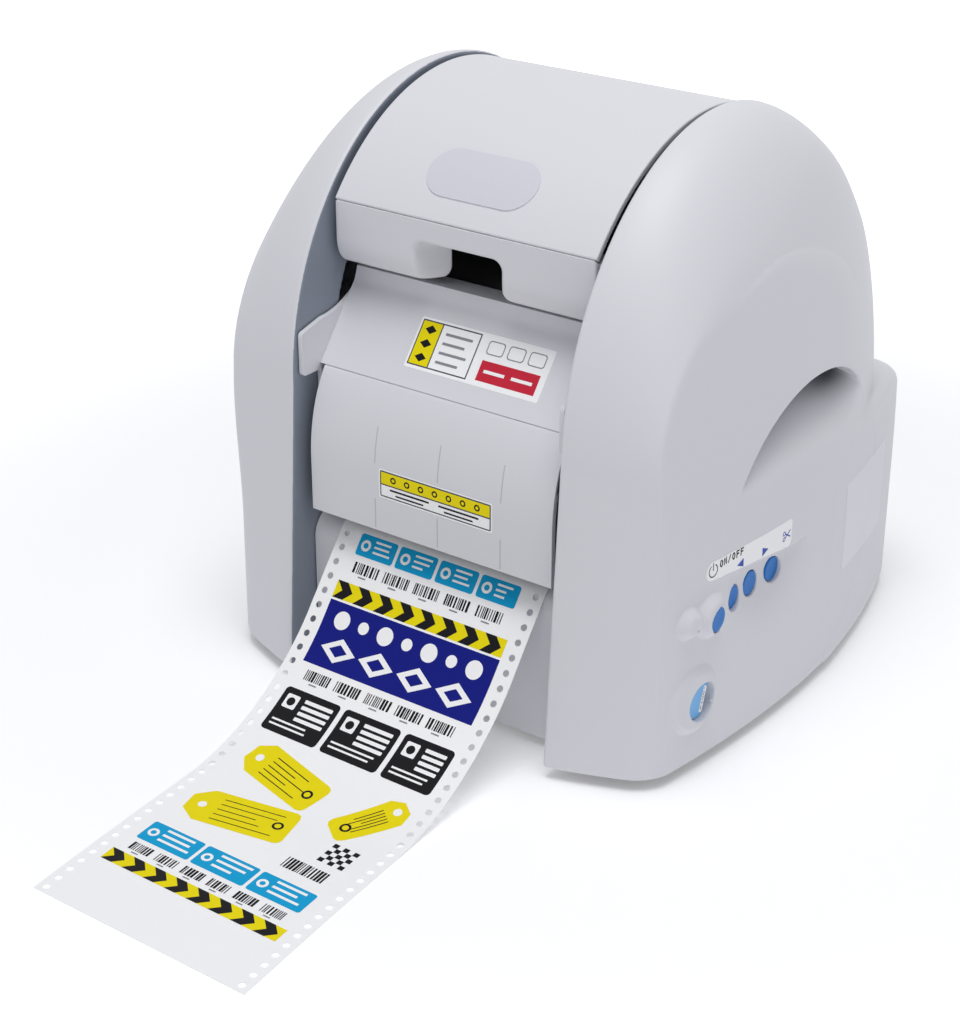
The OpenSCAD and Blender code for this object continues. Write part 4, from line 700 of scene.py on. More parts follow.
# %% [markdown]
# ## The cutter cover and the shelf behind it
# The cutter cover is a curved flap that hangs from two pins. Its top edge rolls in round the pins' axis, so
# the seam to the shelf stays closed as it swings. Three fine scribed lines run down its face. Behind it a
# shelf slopes up under the lid and ends in two rounded wings, which carry the pins. Both are profiles drawn
# along X.

# %% Cutter cover
COVER_Y, COVER_LOW, COVER_HALF, COVER_Z = -116.0, 83.0, 64.0, 108.0
COVER_HINGE_Y, COVER_HINGE_Z, COVER_DEEP, COVER_TALL, COVER_T = -101.0, 141.0, 32.0, 52.0, 2.5


def cover_arc(inset, count, stop=49.0):
    """The cover's front from its straight part up to the edge near the hinge."""
    turns = [math.radians(stop * i / count) for i in range(count + 1)]
    return [(COVER_Y + COVER_DEEP - (COVER_DEEP - inset) * math.cos(t),
             COVER_Z + (COVER_TALL - inset) * math.sin(t)) for t in turns]


def arc_points(y, z, radius, start, stop, count=12):
    """Points on a circle from one angle in degrees to another."""
    turns = [math.radians(start + (stop - start) * i / count) for i in range(count + 1)]
    return [(y + radius * math.cos(t), z + radius * math.sin(t)) for t in turns]


edge_y, edge_z = cover_arc(0.0, 8)[-1]
edge_r = math.hypot(edge_y - COVER_HINGE_Y, edge_z - COVER_HINGE_Z)
edge_turn = math.degrees(math.atan2(edge_z - COVER_HINGE_Z, edge_y - COVER_HINGE_Y))
cover_strip = [(COVER_Y, COVER_LOW)] + cover_arc(0.0, 40)
cover_strip += arc_points(COVER_HINGE_Y, COVER_HINGE_Z, edge_r, edge_turn - 3.0, edge_turn - 11.0, 5)
cover_strip += arc_points(COVER_HINGE_Y, COVER_HINGE_Z, edge_r - 1.3, edge_turn - 11.0, edge_turn - 7.0, 3)
cover_strip += cover_arc(COVER_T, 40)[:-1][::-1] + [(COVER_Y + COVER_T, COVER_LOW)]
PLATE_T = 1.5
end_plate = cover_arc(1.0, 8)[3:]
end_plate += [(COVER_HINGE_Y, COVER_HINGE_Z + 4.5), (COVER_HINGE_Y + 4.0, COVER_HINGE_Z),
              (COVER_HINGE_Y, COVER_HINGE_Z - 5.0), (COVER_Y + 3.0, COVER_Z + 16.0)]
cover_parts = [prism(cover_strip, -COVER_HALF, COVER_HALF)]
cover_parts += [prism(end_plate, x, x + PLATE_T) for x in (-COVER_HALF, COVER_HALF - PLATE_T)]
cover_parts += [cell_box(x - 0.8, x + 0.8, COVER_Y + 2.0, COVER_Y + 5.0, COVER_LOW + 2.0, COVER_Z)
                for x in (-COVER_HALF / 3, COVER_HALF / 3)]
cover_piece = make_piece("cutter_flap", *gather(*cover_parts), shell_grey, body="front_cover",
                         stands_for=("cutter_cover",))
round_edges(cover_piece, 0.6)
print("cover edge", [round(v, 2) for v in cover_arc(0.0, 40)[-1]])

# %% Shelf and wings
shelf_y1, shelf_z1, sweep = -80.0, 179.0, edge_r + 0.35
relief = arc_points(COVER_HINGE_Y, COVER_HINGE_Z, sweep, 80.0, edge_turn - 5.0, 10)
shelf_y0, shelf_z0 = relief[-1]
shelf_top = [(-1.2, -1.4), (0.0, 0.0), (0.6, 1.8), (2.0, 6.0), (13.0, 6.0), (13.0, 3.5), (4.5, 3.5),
             (2.4, -1.0)]
shelf = relief + [(shelf_y1 + dy, shelf_z1 + dz) for dy, dz in shelf_top]
WING_Y, WING_TIP, WING_IN, WING_OUT = -116.0, SEAM_Z - 37.0, 66.7, 68.9
wing = arc_points(WING_Y + 2.0, WING_TIP - 35.0, 2.0, 270.0, 180.0, 6)
wing += arc_points(WING_Y + 2.0, WING_TIP - 19.0, 2.0, 180.0, 100.0, 6)
wing += [(WING_Y + 14.0 + 32.0 * f, WING_TIP - 14.0 + 14.0 * f ** 2) for f in np.linspace(0.0, 1.0, 17)]
wing += [(WING_Y + 46.0, 136.0), (-104.0, 136.0), (-104.0, WING_TIP - 37.0)]
shelf_parts = [prism(shelf, -WING_IN, WING_IN)]
shelf_parts += [prism(wing[::-1], x, x + WING_OUT - WING_IN) for x in (-WING_OUT, WING_IN)]
shelf_piece = make_piece("shelf_and_wings", *gather(*shelf_parts), shell_grey, stands_for=("head_cover",))
round_edges(shelf_piece, 0.8)
print("shelf from", round(shelf_z0, 1), "to", shelf_z1)

# %% [markdown]
# ## The label sheet
# The sheet is a plastic film with a row of sprocket holes along each edge. It comes off the roll, passes
# over the guide bar, the platen and the exit lip, and swings down onto the desk. Its path is a line in the
# Y-Z plane, so anything on the film can be placed by two numbers: x across the film and s along it. The
# same mapping later lays the print on the film and the stickers on their panels.


# %% A run that a film or a sticker follows
class Run:
    """A line in the Y-Z plane, measured along its length."""

    def __init__(self, line, sway=0.0, sway_from=0.0):
        self.line, self.sway, self.sway_from = np.array(line, float), sway, sway_from
        steps = np.linalg.norm(np.diff(self.line, axis=0), axis=1)
        self.marks = np.concatenate([[0.0], np.cumsum(steps)])
        slope = np.gradient(self.line, self.marks, axis=0)
        slope /= np.linalg.norm(slope, axis=1)[:, None]
        self.slope = slope
        self.length = float(self.marks[-1])

    def at(self, s, off):
        """Y and Z at s along the run, moved by off to its left-hand side."""
        y, z = (np.interp(s, self.marks, self.line[:, k]) for k in (0, 1))
        dy, dz = (np.interp(s, self.marks, self.slope[:, k]) for k in (0, 1))
        return y + dz * off, z - dy * off

    def place(self, spots, off):
        """Points of the flat drawing, x across and s along, lifted off the run."""
        swung = np.clip((spots[:, 1] - self.sway_from) / (self.length - self.sway_from), 0.0, 1.0)
        return np.column_stack([spots[:, 0] + self.sway * swung ** 1.6, *self.at(spots[:, 1], off)])


print("a straight run of", Run([(0.0, 0.0), (3.0, 4.0)]).length)

# %% Path of the film
FILM_W, FILM_T, FILM_Z, HOLE_PITCH, HOLE_X, HOLE_R = 110.0, 0.3, 77.15, 6.75, 51.0, 1.55
LIP_CENTRE, LIP_RUN_R, EXIT, BEND = (-97.8, 65.0), 12.15, math.radians(52.0), 100.0
GUIDE, GUIDE_RUN_R, ROLL, ROLL_RUN_R = (-22.0, 70.7), 6.45, (45.0, 88.0), 42.55
FILM_END_Y, EXIT_Y, SWAY, SWAY_FROM = -310.0, -106.0, 10.0, 200.0
to_roll = math.atan2(ROLL[1] - GUIDE[1], ROLL[0] - GUIDE[0])
to_roll -= math.asin((GUIDE_RUN_R + ROLL_RUN_R) / math.hypot(ROLL[0] - GUIDE[0], ROLL[1] - GUIDE[1]))
web = [(ROLL[0] + ROLL_RUN_R * math.sin(to_roll), ROLL[1] - ROLL_RUN_R * math.cos(to_roll))]
web += [(GUIDE[0] - GUIDE_RUN_R * math.sin(to_roll * f), GUIDE[1] + GUIDE_RUN_R * math.cos(to_roll * f))
        for f in np.linspace(1.0, 0.0, 9)]
web += [(y, FILM_Z) for y in np.linspace(-40.0, -94.0, 10)]
web += [(LIP_CENTRE[0] - LIP_RUN_R * math.sin(a), LIP_CENTRE[1] + LIP_RUN_R * math.cos(a))
        for a in np.linspace(0.0, EXIT, 24)]
drop = web[-1][1] - FILM_T / 2 - 0.02 - BEND * (1.0 - math.cos(EXIT)) / EXIT
fall = drop / math.sin(EXIT)
bend_y, bend_z = web[-1][0] - fall * math.cos(EXIT), web[-1][1] - fall * math.sin(EXIT)
web += [(bend_y - BEND * (math.sin(EXIT) - math.sin(EXIT * (1 - f))) / EXIT,
         bend_z - BEND * (math.cos(EXIT * (1 - f)) - math.cos(EXIT)) / EXIT)
        for f in np.linspace(0.0, 1.0, 60)]
web += [(y, web[-1][1]) for y in np.linspace(web[-1][0], FILM_END_Y, 40)[1:]]
film_run = Run(web, sway=SWAY, sway_from=SWAY_FROM)
exit_mark = float(film_run.marks[np.argmax(film_run.line[:, 0] < EXIT_Y)])
print("film length", round(film_run.length, 1), "visible from", round(exit_mark, 1))

# %% [markdown]
# The margin of the film is made of square cells, each with a round hole in it, and the middle of plain
# cells whose corners meet them. Both faces and the edges are closed, so the film is a real thin solid.

# %% Film with sprocket holes
CELLS = int(film_run.length // HOLE_PITCH)
PITCH = film_run.length / CELLS
QUARTERS = [(-1.0, q) for q in (-1.0, -0.5, 0.0, 0.5)] + [(q, 1.0) for q in (-1.0, -0.5, 0.0, 0.5)]
QUARTERS += [(1.0, -q) for q in (-1.0, -0.5, 0.0, 0.5)] + [(-q, -1.0) for q in (-1.0, -0.5, 0.0, 0.5)]


def film_mesh():
    """The flat film: a ring of 16 quads round each hole, and plain cells between the margins."""
    flat, faces, index = [], [], {}

    def corner(x, s):
        key = (round(x, 4), round(s, 4))
        if key not in index:
            index[key] = len(flat)
            flat.append(key)
        return index[key]

    margin = 2 * (FILM_W / 2 - HOLE_X)
    for cell in range(CELLS):
        middle = (cell + 0.5) * PITCH
        for side in (-1.0, 1.0):
            rim, bore = [], []
            for qx, qs in QUARTERS:
                turn = math.atan2(qs, qx)
                rim.append(corner(side * HOLE_X + qx * margin / 2, middle + qs * PITCH / 2))
                bore.append(corner(side * HOLE_X + HOLE_R * math.cos(turn), middle + HOLE_R * math.sin(turn)))
            faces += [[rim[i - 1], rim[i], bore[i], bore[i - 1]] for i in range(16)]
        inner = HOLE_X - margin / 2
        columns = np.linspace(-inner, inner, 7)
        for part in range(4):
            s0, s1 = (cell + part / 4) * PITCH, (cell + (part + 1) / 4) * PITCH
            for x0, x1 in zip(columns[:-1], columns[1:]):
                faces.append([corner(x0, s0), corner(x0, s1), corner(x1, s1), corner(x1, s0)])
    return np.array(flat), faces


flat, film_faces = film_mesh()
film_skins = closed_sheet(film_run.place(flat, FILM_T / 2), film_run.place(flat, -FILM_T / 2), film_faces)
make_piece("label_film", *film_skins, film_white, slot="label_stock", stands_for=("label_sheet",),
           smooth_angle=50.0)
print("film points", 2 * len(flat), "holes", 2 * CELLS)

# %% [markdown]
# ## Print and stickers
# Print is a layer of ink, so each colour is one thin mesh that floats a few hundredths of a millimetre
# above the film. Shapes are drawn flat as polygons, cut into short strips so that they can bend, and laid
# on the run. The sheet carries sample labels of plain make: bands of chevrons, bar patterns, tags, blocks
# and rules, with no words on them.


# %% Inks
ink_colours = {"black": "131216", "white": "fdfdfe", "yellow": "f2e010", "teal": "12a3d8", "navy": "131c80",
               "pale": "ebebf0", "blue": "4a63b4", "grey": "8f8f96", "slate": "4b4d58", "red": "cb2c40",
               "scribe": "c3c3ca"}
inks = {name: finish("Ink " + name, colour, 0.6, drift=0.03, bump=0.01, specular=0.12)
        for name, colour in ink_colours.items()}
print("inks", list(inks))


# %% Flat shapes and how they are laid
class Print:
    """Polygons by ink and layer, laid on a run when they are all drawn."""

    def __init__(self, run, shift=0.0, base=0.0, facing=-1.0):
        self.run, self.shift, self.base, self.facing, self.shapes = run, shift, base, facing, {}

    def add(self, ink, polygon, layer=1):
        self.shapes.setdefault((ink, layer), []).append([(float(x), float(s)) for x, s in polygon])

    def box(self, ink, x0, x1, s0, s1, layer=1, radius=0.0):
        if radius <= 0.0:
            self.add(ink, [(x0, s0), (x1, s0), (x1, s1), (x0, s1)], layer)
            return
        right, left, high, low = x1 - radius, x0 + radius, s1 - radius, s0 + radius
        corners = [(right, high, 0), (left, high, 90), (left, low, 180), (right, low, 270)]
        self.add(ink, [p for cx, cs, a in corners for p in arc_points(cx, cs, radius, a, a + 90, 5)], layer)

    def disc(self, ink, x, s, radius, layer=1, sides=28):
        self.add(ink, arc_points(x, s, radius, 0, 360 - 360 / sides, sides - 1), layer)

    def bars(self, x0, x1, s0, s1, seed, layer=1):
        """A row of bars of mixed widths."""
        rng = np.random.default_rng(seed)
        x = x0
        while x < x1 - 0.4:
            width = float(rng.choice([0.5, 0.5, 0.9, 1.2]))
            self.box("black", x, min(x + width, x1), s0, s1, layer)
            x += width + float(rng.choice([0.35, 0.5, 0.8]))

    def rules(self, ink, x0, x1, s0, s1, count, seed, layer=2):
        """Plain rules of mixed lengths."""
        rng = np.random.default_rng(seed)
        step_s = (s1 - s0) / count
        for i in range(count):
            stop = x0 + (x1 - x0) * float(rng.uniform(0.55, 1.0))
            self.box(ink, x0, stop, s0 + i * step_s, s0 + i * step_s + step_s * 0.4, layer)

    def lay(self, name, body="housing", slot="label_stock", lift=0.02, strip=2.0):
        """One mesh for each ink and layer, cut into strips and bent onto the run."""
        for (ink, layer), polygons in sorted(self.shapes.items()):
            ink_mesh = bmesh.new()
            for polygon in polygons:
                corners = [ink_mesh.verts.new((x, s, 0.0)) for x, s in polygon]
                ink_mesh.faces.new(corners)
            ink_mesh.normal_update()
            bmesh.ops.triangulate(ink_mesh, faces=ink_mesh.faces[:])
            for axis in ((0, 1, 0),) if self.facing < 0 else ((0, 1, 0), (1, 0, 0)):
                reach = [p[axis.index(1)] for polygon in polygons for p in polygon]
                for cut in np.arange(math.ceil(min(reach) / strip) * strip, max(reach), strip):
                    everything = ink_mesh.verts[:] + ink_mesh.edges[:] + ink_mesh.faces[:]
                    bmesh.ops.bisect_plane(ink_mesh, geom=everything, dist=1e-5, plane_co=Vector(axis) * cut,
                                           plane_no=axis)
            bmesh.ops.triangulate(ink_mesh, faces=ink_mesh.faces[:])
            ink_mesh.verts.index_update()
            spots = np.array([v.co[:2] for v in ink_mesh.verts])
            tris = np.array([[v.index for v in f.verts] for f in ink_mesh.faces])
            ink_mesh.free()
            a, b, c = (spots[tris[:, k]] for k in range(3))
            turn = (b[:, 0] - a[:, 0]) * (c[:, 1] - a[:, 1]) - (b[:, 1] - a[:, 1]) * (c[:, 0] - a[:, 0])
            tris[turn * self.facing < 0] = tris[turn * self.facing < 0][:, ::-1]
            points = self.run.place(spots + (0.0, self.shift), self.base + lift * (1 + layer))
            make_piece(f"{name}_{ink}_{layer}", points, tris.tolist(), inks[ink], body=body, slot=slot,
                       smooth_angle=60.0)
        print(name, len(self.shapes), "layers of ink")


print("run of the print", round(film_run.length - exit_mark, 1))

# %% Sample labels on the film
PRINT_HALF = 46.0
sheet = Print(film_run, exit_mark, FILM_T / 2)


def bar_row(page, s, height, count, seed):
    width = 84.0 / count
    for i in range(count):
        x0 = -42.0 + i * width
        page.bars(x0 + 1.0, x0 + width - 2.2, s, s + height, seed + i)
        page.box("grey", x0 + width * 0.3, x0 + width * 0.55, s + height + 0.9, s + height + 1.6)


def chevron_band(page, s0, s1, pitch):
    page.box("yellow", -PRINT_HALF, PRINT_HALF, s0, s1, 1)
    middle, lean = (s0 + s1) / 2, (s1 - s0) / 2
    x = -PRINT_HALF
    while x + pitch / 2 + lean <= PRINT_HALF:
        tip = x + pitch / 2
        arrow = [(x, s0), (tip, s0), (tip + lean, middle), (tip, s1), (x, s1), (x + lean, middle)]
        page.add("black", arrow, 2)
        x += pitch


def tile_row(page, s0, s1, count):
    width = 88.0 / count
    for i in range(count):
        x0 = -44.0 + i * width
        page.box("teal", x0 + 0.8, x0 + width - 0.8, s0, s1, 1, 1.2)
        page.disc("white", x0 + 5.0, (s0 + s1) / 2, min(2.6, (s1 - s0) * 0.32), 2)
        page.disc("teal", x0 + 5.0, (s0 + s1) / 2, min(1.3, (s1 - s0) * 0.16), 3)
        page.rules("white", x0 + 9.5, x0 + width - 3.0, s0 + 1.6, s1 - 1.2, 3, 40 + i)


tile_row(sheet, 1.0, 11.0, 4)
bar_row(sheet, 14.0, 5.0, 5, 100)
chevron_band(sheet, 24.0, 32.0, 11.5)
sheet.box("navy", -PRINT_HALF, PRINT_HALF, 33.0, 63.0, 1)
for i in range(7):
    sheet.disc("white", -36.0 + 12.0 * i, 40.6, 4.2 - 1.4 * (i % 2), 2)
for i in range(4):
    x = -31.5 + 21.0 * i
    sheet.add("white", [(x - 9.5, 53.8), (x, 48.0), (x + 9.5, 53.8), (x, 59.6)], 2)
    sheet.add("navy", [(x - 5.0, 53.8), (x, 50.8), (x + 5.0, 53.8), (x, 56.8)], 3)
bar_row(sheet, 66.0, 5.0, 5, 200)
print("upper labels drawn", sum(len(v) for v in sheet.shapes.values()))

# %% More sample labels
for x0, x1 in ((-PRINT_HALF, -15.5), (-13.0, 17.5), (20.0, PRINT_HALF)):
    sheet.box("black", x0, x1, 76.0, 99.0, 1, 2.0)
    sheet.box("white", x0 + 2.6, x0 + 9.5, 79.0, 86.0, 2, 0.8)
    sheet.disc("black", x0 + 6.0, 82.5, 2.1, 3)
    for row in range(4):
        sheet.box("white", x0 + 12.5, x1 - 2.6, 79.2 + 3.1 * row, 81.0 + 3.1 * row, 2, 0.4)
    sheet.rules("white", x0 + 2.6, x1 - 3.0, 92.2, 97.0, 2, int(x0) + 300)


def tag(page, x, s, length, width, turn, seed):
    """A yellow hang tag: a long body with a pointed end and a hole, turned on the sheet."""
    c, d = math.cos(math.radians(turn)), math.sin(math.radians(turn))

    def put(points):
        return [(x + px * c - ps * d, s + px * d + ps * c) for px, ps in points]

    h = width / 2
    half = [(0, -h * 0.45), (h * 0.7, -h), (length - 3, -h), (length - 0.9, -h + 0.9), (length, -h + 3)]
    page.add("yellow", put(half + [(px, -ps) for px, ps in half[::-1]]), 1)
    page.add("white", put(arc_points(h * 0.62, 0.0, 2.0, 0, 345, 23)), 2)
    rng = np.random.default_rng(seed)
    for i in range(5):
        ps, stop = -h + 4.0 + i * (width - 8.0) / 4.0, length - 5.0 - float(rng.uniform(0, length * 0.3))
        page.add("black", put([(h * 1.3, ps), (stop, ps), (stop, ps + 0.5), (h * 1.3, ps + 0.5)]), 2)
    page.add("black", put(arc_points(length - 6.5, 0.0, 2.6, 0, 345, 23)), 3)
    page.add("yellow", put(arc_points(length - 6.5, 0.0, 1.5, 0, 345, 23)), 4)


tag(sheet, -40.0, 112.0, 46.0, 19.0, 14.0, 1)
tag(sheet, 42.0, 108.0, 34.0, 15.0, 128.0, 2)
tag(sheet, -42.0, 152.0, 50.0, 22.0, -10.0, 3)
for row in range(5):
    for column in range(5):
        if (row + column) % 2 == 0:
            sheet.box("black", 28.0 + 2.6 * column, 30.6 + 2.6 * column, 140.0 + 2.6 * row, 142.6 + 2.6 * row)
sheet.bars(18.0, 40.0, 157.5, 164.5, 77)
tile_row(sheet, 171.0, 184.0, 3)
bar_row(sheet, 186.5, 5.0, 6, 400)
chevron_band(sheet, 194.5, 202.5, 11.5)
sheet.lay("label_print")

# %% [markdown]
# The lid carries a bare oval badge. It is a plate bent to the lid's arch, so it is laid on a run over the
# lid just as the film is, with a skin on each side.

# %% Badge on the lid
BADGE_LONG, BADGE_TALL, BADGE_T, BADGE_DEGREES = 27.3, 12.0, 0.5, 51.9
lid_run = Run(lid_arc(0.0, ARCH_STEPS)[::-1])
badge_row = float(ARCH_STEPS) * (LID_STOP - BADGE_DEGREES) / (LID_STOP - LID_START)
badge_s = float(np.interp(badge_row, np.arange(ARCH_STEPS + 1), lid_run.marks))
badge_spots, badge_faces = [], []
for row, turn in enumerate(np.linspace(-90.0, 90.0, 25)):
    tall, long = BADGE_TALL * math.sin(math.radians(turn)), BADGE_TALL * math.cos(math.radians(turn))
    badge_spots += [(f * (BADGE_LONG - BADGE_TALL + long), badge_s + tall) for f in np.linspace(-1.0, 1.0, 9)]
    badge_faces += [[9 * row + k - 9, 9 * row + k, 9 * row + k + 1, 9 * row + k - 8] for k in range(8) if row]
badge_spots = np.array(badge_spots)
badge_skins = closed_sheet(lid_run.place(badge_spots, BADGE_T), lid_run.place(badge_spots, -0.4), badge_faces)
badge = make_piece("lid_badge_plate", *badge_skins, badge_grey, body="lid", stands_for=("lid_badge",))
round_edges(badge, 0.2)
print("badge at", round(badge_s, 1), "along the lid")

# %% [markdown]
# The stickers on the cutter cover and the shelf are plain fields, rules, discs and diamonds. The cover's
# scribed lines are thin strips of a darker grey.

# %% Sticker and scribed lines on the cutter cover
cover_run = Run(cover_arc(0.0, 60)[::-1] + [(COVER_Y, z) for z in np.linspace(COVER_Z, COVER_LOW, 12)[1:]])
cover_print = Print(cover_run)
low_mark = cover_run.length - (99.5 - COVER_LOW)
cover_print.box("white", -26.0, 34.0, low_mark - 13.5, low_mark, 1, 1.0)
cover_print.box("slate", -25.3, 33.3, low_mark - 12.8, low_mark - 0.7, 2, 0.6)
cover_print.box("yellow", -24.7, 32.7, low_mark - 12.2, low_mark - 6.8, 3)
cover_print.box("white", -24.7, 32.7, low_mark - 6.2, low_mark - 1.3, 3)
for i in range(7):
    cover_print.disc("black", -18.2 + 7.4 * i, low_mark - 9.5, 1.5, 4)
    cover_print.disc("yellow", -18.2 + 7.4 * i, low_mark - 9.5, 0.8, 5)
for i in range(2):
    cover_print.box("black", -20.0 + 26.0 * i, 1.0 + 26.0 * i, low_mark - 5.1, low_mark - 4.2, 4)
    cover_print.box("black", -17.0 + 26.0 * i, -2.0 + 26.0 * i, low_mark - 3.0, low_mark - 2.2, 4)
for x in (-28.3, 5.3, 38.1):
    for s0, s1 in ((cover_run.length - 48.0, low_mark - 15.0), (low_mark + 1.5, cover_run.length - 1.2)):
        cover_print.box("scribe", x - 0.3, x + 0.3, s0, s1, 0)
cover_print.lay("cover_sticker", body="front_cover", slot="shell")

# %% Sticker on the shelf
shelf_run = Run([shelf[len(relief)], (shelf_y0, shelf_z0)])
shelf_print = Print(shelf_run)
shelf_print.box("white", -25.0, 44.0, 6.0, 29.0, 1, 1.0)
shelf_print.box("slate", -24.0, 7.0, 7.0, 27.6, 2, 0.3)
shelf_print.box("yellow", -23.4, -13.6, 7.6, 27.0, 3)
shelf_print.box("white", -13.0, 6.4, 7.6, 27.0, 3)
for i in range(3):
    shelf_print.add("black", [(-21.5, 11.0 + 6.3 * i), (-18.5, 9.0 + 6.3 * i), (-15.5, 11.0 + 6.3 * i),
                              (-18.5, 13.0 + 6.3 * i)], 4)
    shelf_print.box("grey", 11.5 + 10.5 * i, 20.0 + 10.5 * i, 8.6, 14.8, 2, 1.5)
    shelf_print.box("white", 12.0 + 10.5 * i, 19.5 + 10.5 * i, 9.1, 14.3, 3, 1.2)
for i in range(4):
    shelf_print.box("grey", -10.5, 3.5 - 2.5 * (i % 2), 10.6 + 4.2 * i, 11.8 + 4.2 * i, 4)
shelf_print.box("red", 11.5, 41.0, 17.6, 26.6, 2)
for i in range(2):
    shelf_print.box("white", 14.0 + 14.0 * i, 24.5 + 14.0 * i, 21.4, 22.8, 3)
shelf_print.lay("shelf_sticker", slot="shell")

# %% [markdown]
# ## The control panel
# A pale legend strip runs above the buttons. Its marks are plain ones: a power ring, the word ON/OFF, two
# arrowheads and a pair of scissors. They lie on the curved cheek, so each point of the flat drawing slides
# along X until it meets the field of the right cheek. A blank pale sticker sits further back.


# %% A face that follows the right cheek
class CheekFace:
    """Points given by y and z, moved along X onto the right cheek."""

    @staticmethod
    def place(spots, off):
        y, z = np.asarray(spots, float).T
        x = barrel_x(y) + 0.2
        for _ in range(8):
            slope = (cover_field(x + 0.05, y, z, True) - cover_field(x - 0.05, y, z, True)) / 0.1
            x = x - np.clip(cover_field(x, y, z, True) / np.maximum(slope, 0.3), -0.8, 0.8)
        return np.column_stack([x + off, y, z])


print("cheek above the first button", CheekFace.place([(BUTTON_YS[0], BUTTON_Z + 20.0)], 0.0)[0].round(1))


# %% Signs for the legend
def arch_band(page, ink, y, z, radius, width, start, stop, layer, squash=1.0, count=24):
    """Part of a ring as one polygon."""
    turns = np.radians(np.linspace(start, stop, count + 1))
    outer = [(y + radius * squash * math.cos(a), z + radius * math.sin(a)) for a in turns]
    inner = [(y + (radius * squash - width) * math.cos(a), z + (radius - width) * math.sin(a))
             for a in turns[::-1]]
    page.add(ink, outer + inner, layer)


def bar(page, ink, start, stop, width, layer):
    """A straight stroke between two points."""
    run = np.subtract(stop, start)
    side = np.array([-run[1], run[0]]) / np.linalg.norm(run) * width / 2
    corners = (np.add(start, side), np.subtract(start, side), np.subtract(stop, side), np.add(stop, side))
    page.add(ink, corners, layer)


def switch_word(page, y, z, height, layer):
    """The word ON/OFF in plain block strokes."""
    pen, wide, gap = height * 0.2, height * 0.66, height * 0.2
    for mark in "ON/OFF":
        if mark == "O":
            for start in (90, -90):
                arch_band(page, "black", y + wide / 2, z + height / 2, height / 2, pen, start, start + 180,
                          layer, 0.62)
        elif mark == "N":
            page.box("black", y, y + pen, z, z + height, layer)
            page.box("black", y + wide - pen, y + wide, z, z + height, layer)
            page.add("black", [(y + pen, z + height), (y + pen, z + height * 0.66), (y + wide - pen, z),
                               (y + wide - pen, z + height * 0.34)], layer)
        elif mark == "F":
            page.box("black", y, y + pen, z, z + height, layer)
            page.box("black", y + pen, y + wide, z + height - pen, z + height, layer)
            page.box("black", y + pen, y + wide * 0.85, z + height * 0.42, z + height * 0.42 + pen, layer)
        else:
            slash = [(y, z), (y + pen, z), (y + wide, z + height), (y + wide - pen, z + height)]
            page.add("black", slash, layer)
        y += wide + gap


print("signs ready")


# %% Legend strip and blank sticker
legend = Print(CheekFace, facing=1.0)
strip = arc_points(-79.9, 93.0, 4.3, 270.0, 98.0, 14) + arc_points(-23.4, 93.2, 2.2, 86.0, 0.0, 6)
strip += arc_points(-24.0, 85.4, 2.6, -10.0, -96.0, 8) + [(-43.5, 85.4)]
legend.add("white", strip, 2)
arch_band(legend, "slate", -79.6, 93.1, 3.0, 0.55, 118.0, 422.0, 3)
bar(legend, "slate", (-79.6, 93.2), (-79.6, 96.6), 0.55, 3)
switch_word(legend, -75.4, 92.8, 3.4, 3)
legend.add("blue", [(-63.0, 89.0), (-58.4, 87.0), (-58.4, 91.0)], 3)
legend.add("blue", [(-40.0, 88.2), (-44.6, 90.2), (-44.6, 86.2)], 3)
for side in (-1.0, 1.0):
    for start in (0.0, 180.0):
        arch_band(legend, "blue", -27.6, 88.8 + side * 1.3, 1.1, 0.5, start, start + 180.0, 3)
    bar(legend, "blue", (-26.6, 88.8 + side * 0.9), (-22.6, 88.8 - side * 1.6), 0.6, 3 + (side > 0))
legend.box("pale", 33.5, 91.0, 46.5, 89.5, 1, 1.0)
legend.lay("control_legend", slot="shell", strip=1.5)

# %% [markdown]
# The dial is a pale disc with a raised blue grip in the shape of a D. A white band with small numbers runs
# along the straight side of the D, and a moulded pointer on the cheek reads them.

# %% Dial
DIAL_REST, GRIP_FLAT = math.radians(18.0), 5.6
DIAL_TOP_X, DISC_BACK_X = DIAL_FACE_X + 1.6, DIAL_FACE_X - 1.2


class DialFace:
    """Points of the dial's own drawing, p towards the straight side and q along it."""

    @staticmethod
    def turn(p, q):
        return (DIAL_Y + p * math.cos(DIAL_REST) + q * math.sin(DIAL_REST),
                DIAL_Z - p * math.sin(DIAL_REST) + q * math.cos(DIAL_REST))

    @staticmethod
    def place(spots, off):
        y, z = DialFace.turn(*np.asarray(spots, float).T)
        return np.column_stack([np.full(len(y), DIAL_TOP_X + off), y, z])


flat_turn = math.degrees(math.acos(GRIP_FLAT / DIAL_R))
grip_arc = arc_points(0.0, 0.0, DIAL_R, flat_turn, 360.0 - flat_turn, 48)
grip_outline = [DialFace.turn(p, q) for p, q in grip_arc]
disc_outline = arc_points(DIAL_Y, DIAL_Z, DIAL_R, 0.0, 355.0, 71)
dial_disc = make_piece("dial_disc", *prism(disc_outline, DISC_BACK_X, DIAL_FACE_X - 0.9), shell_grey,
                       body="dial", slot="dial", stands_for=("dial_wheel",))
round_edges(dial_disc, 0.1)
dial_grip = make_piece("dial_grip", *prism(grip_outline, DIAL_FACE_X - 0.95, DIAL_TOP_X), dial_blue,
                       body="dial", slot="dial")
round_edges(dial_grip, 0.2)
print("dial parts", [p.name for p in (dial_disc, dial_grip)])

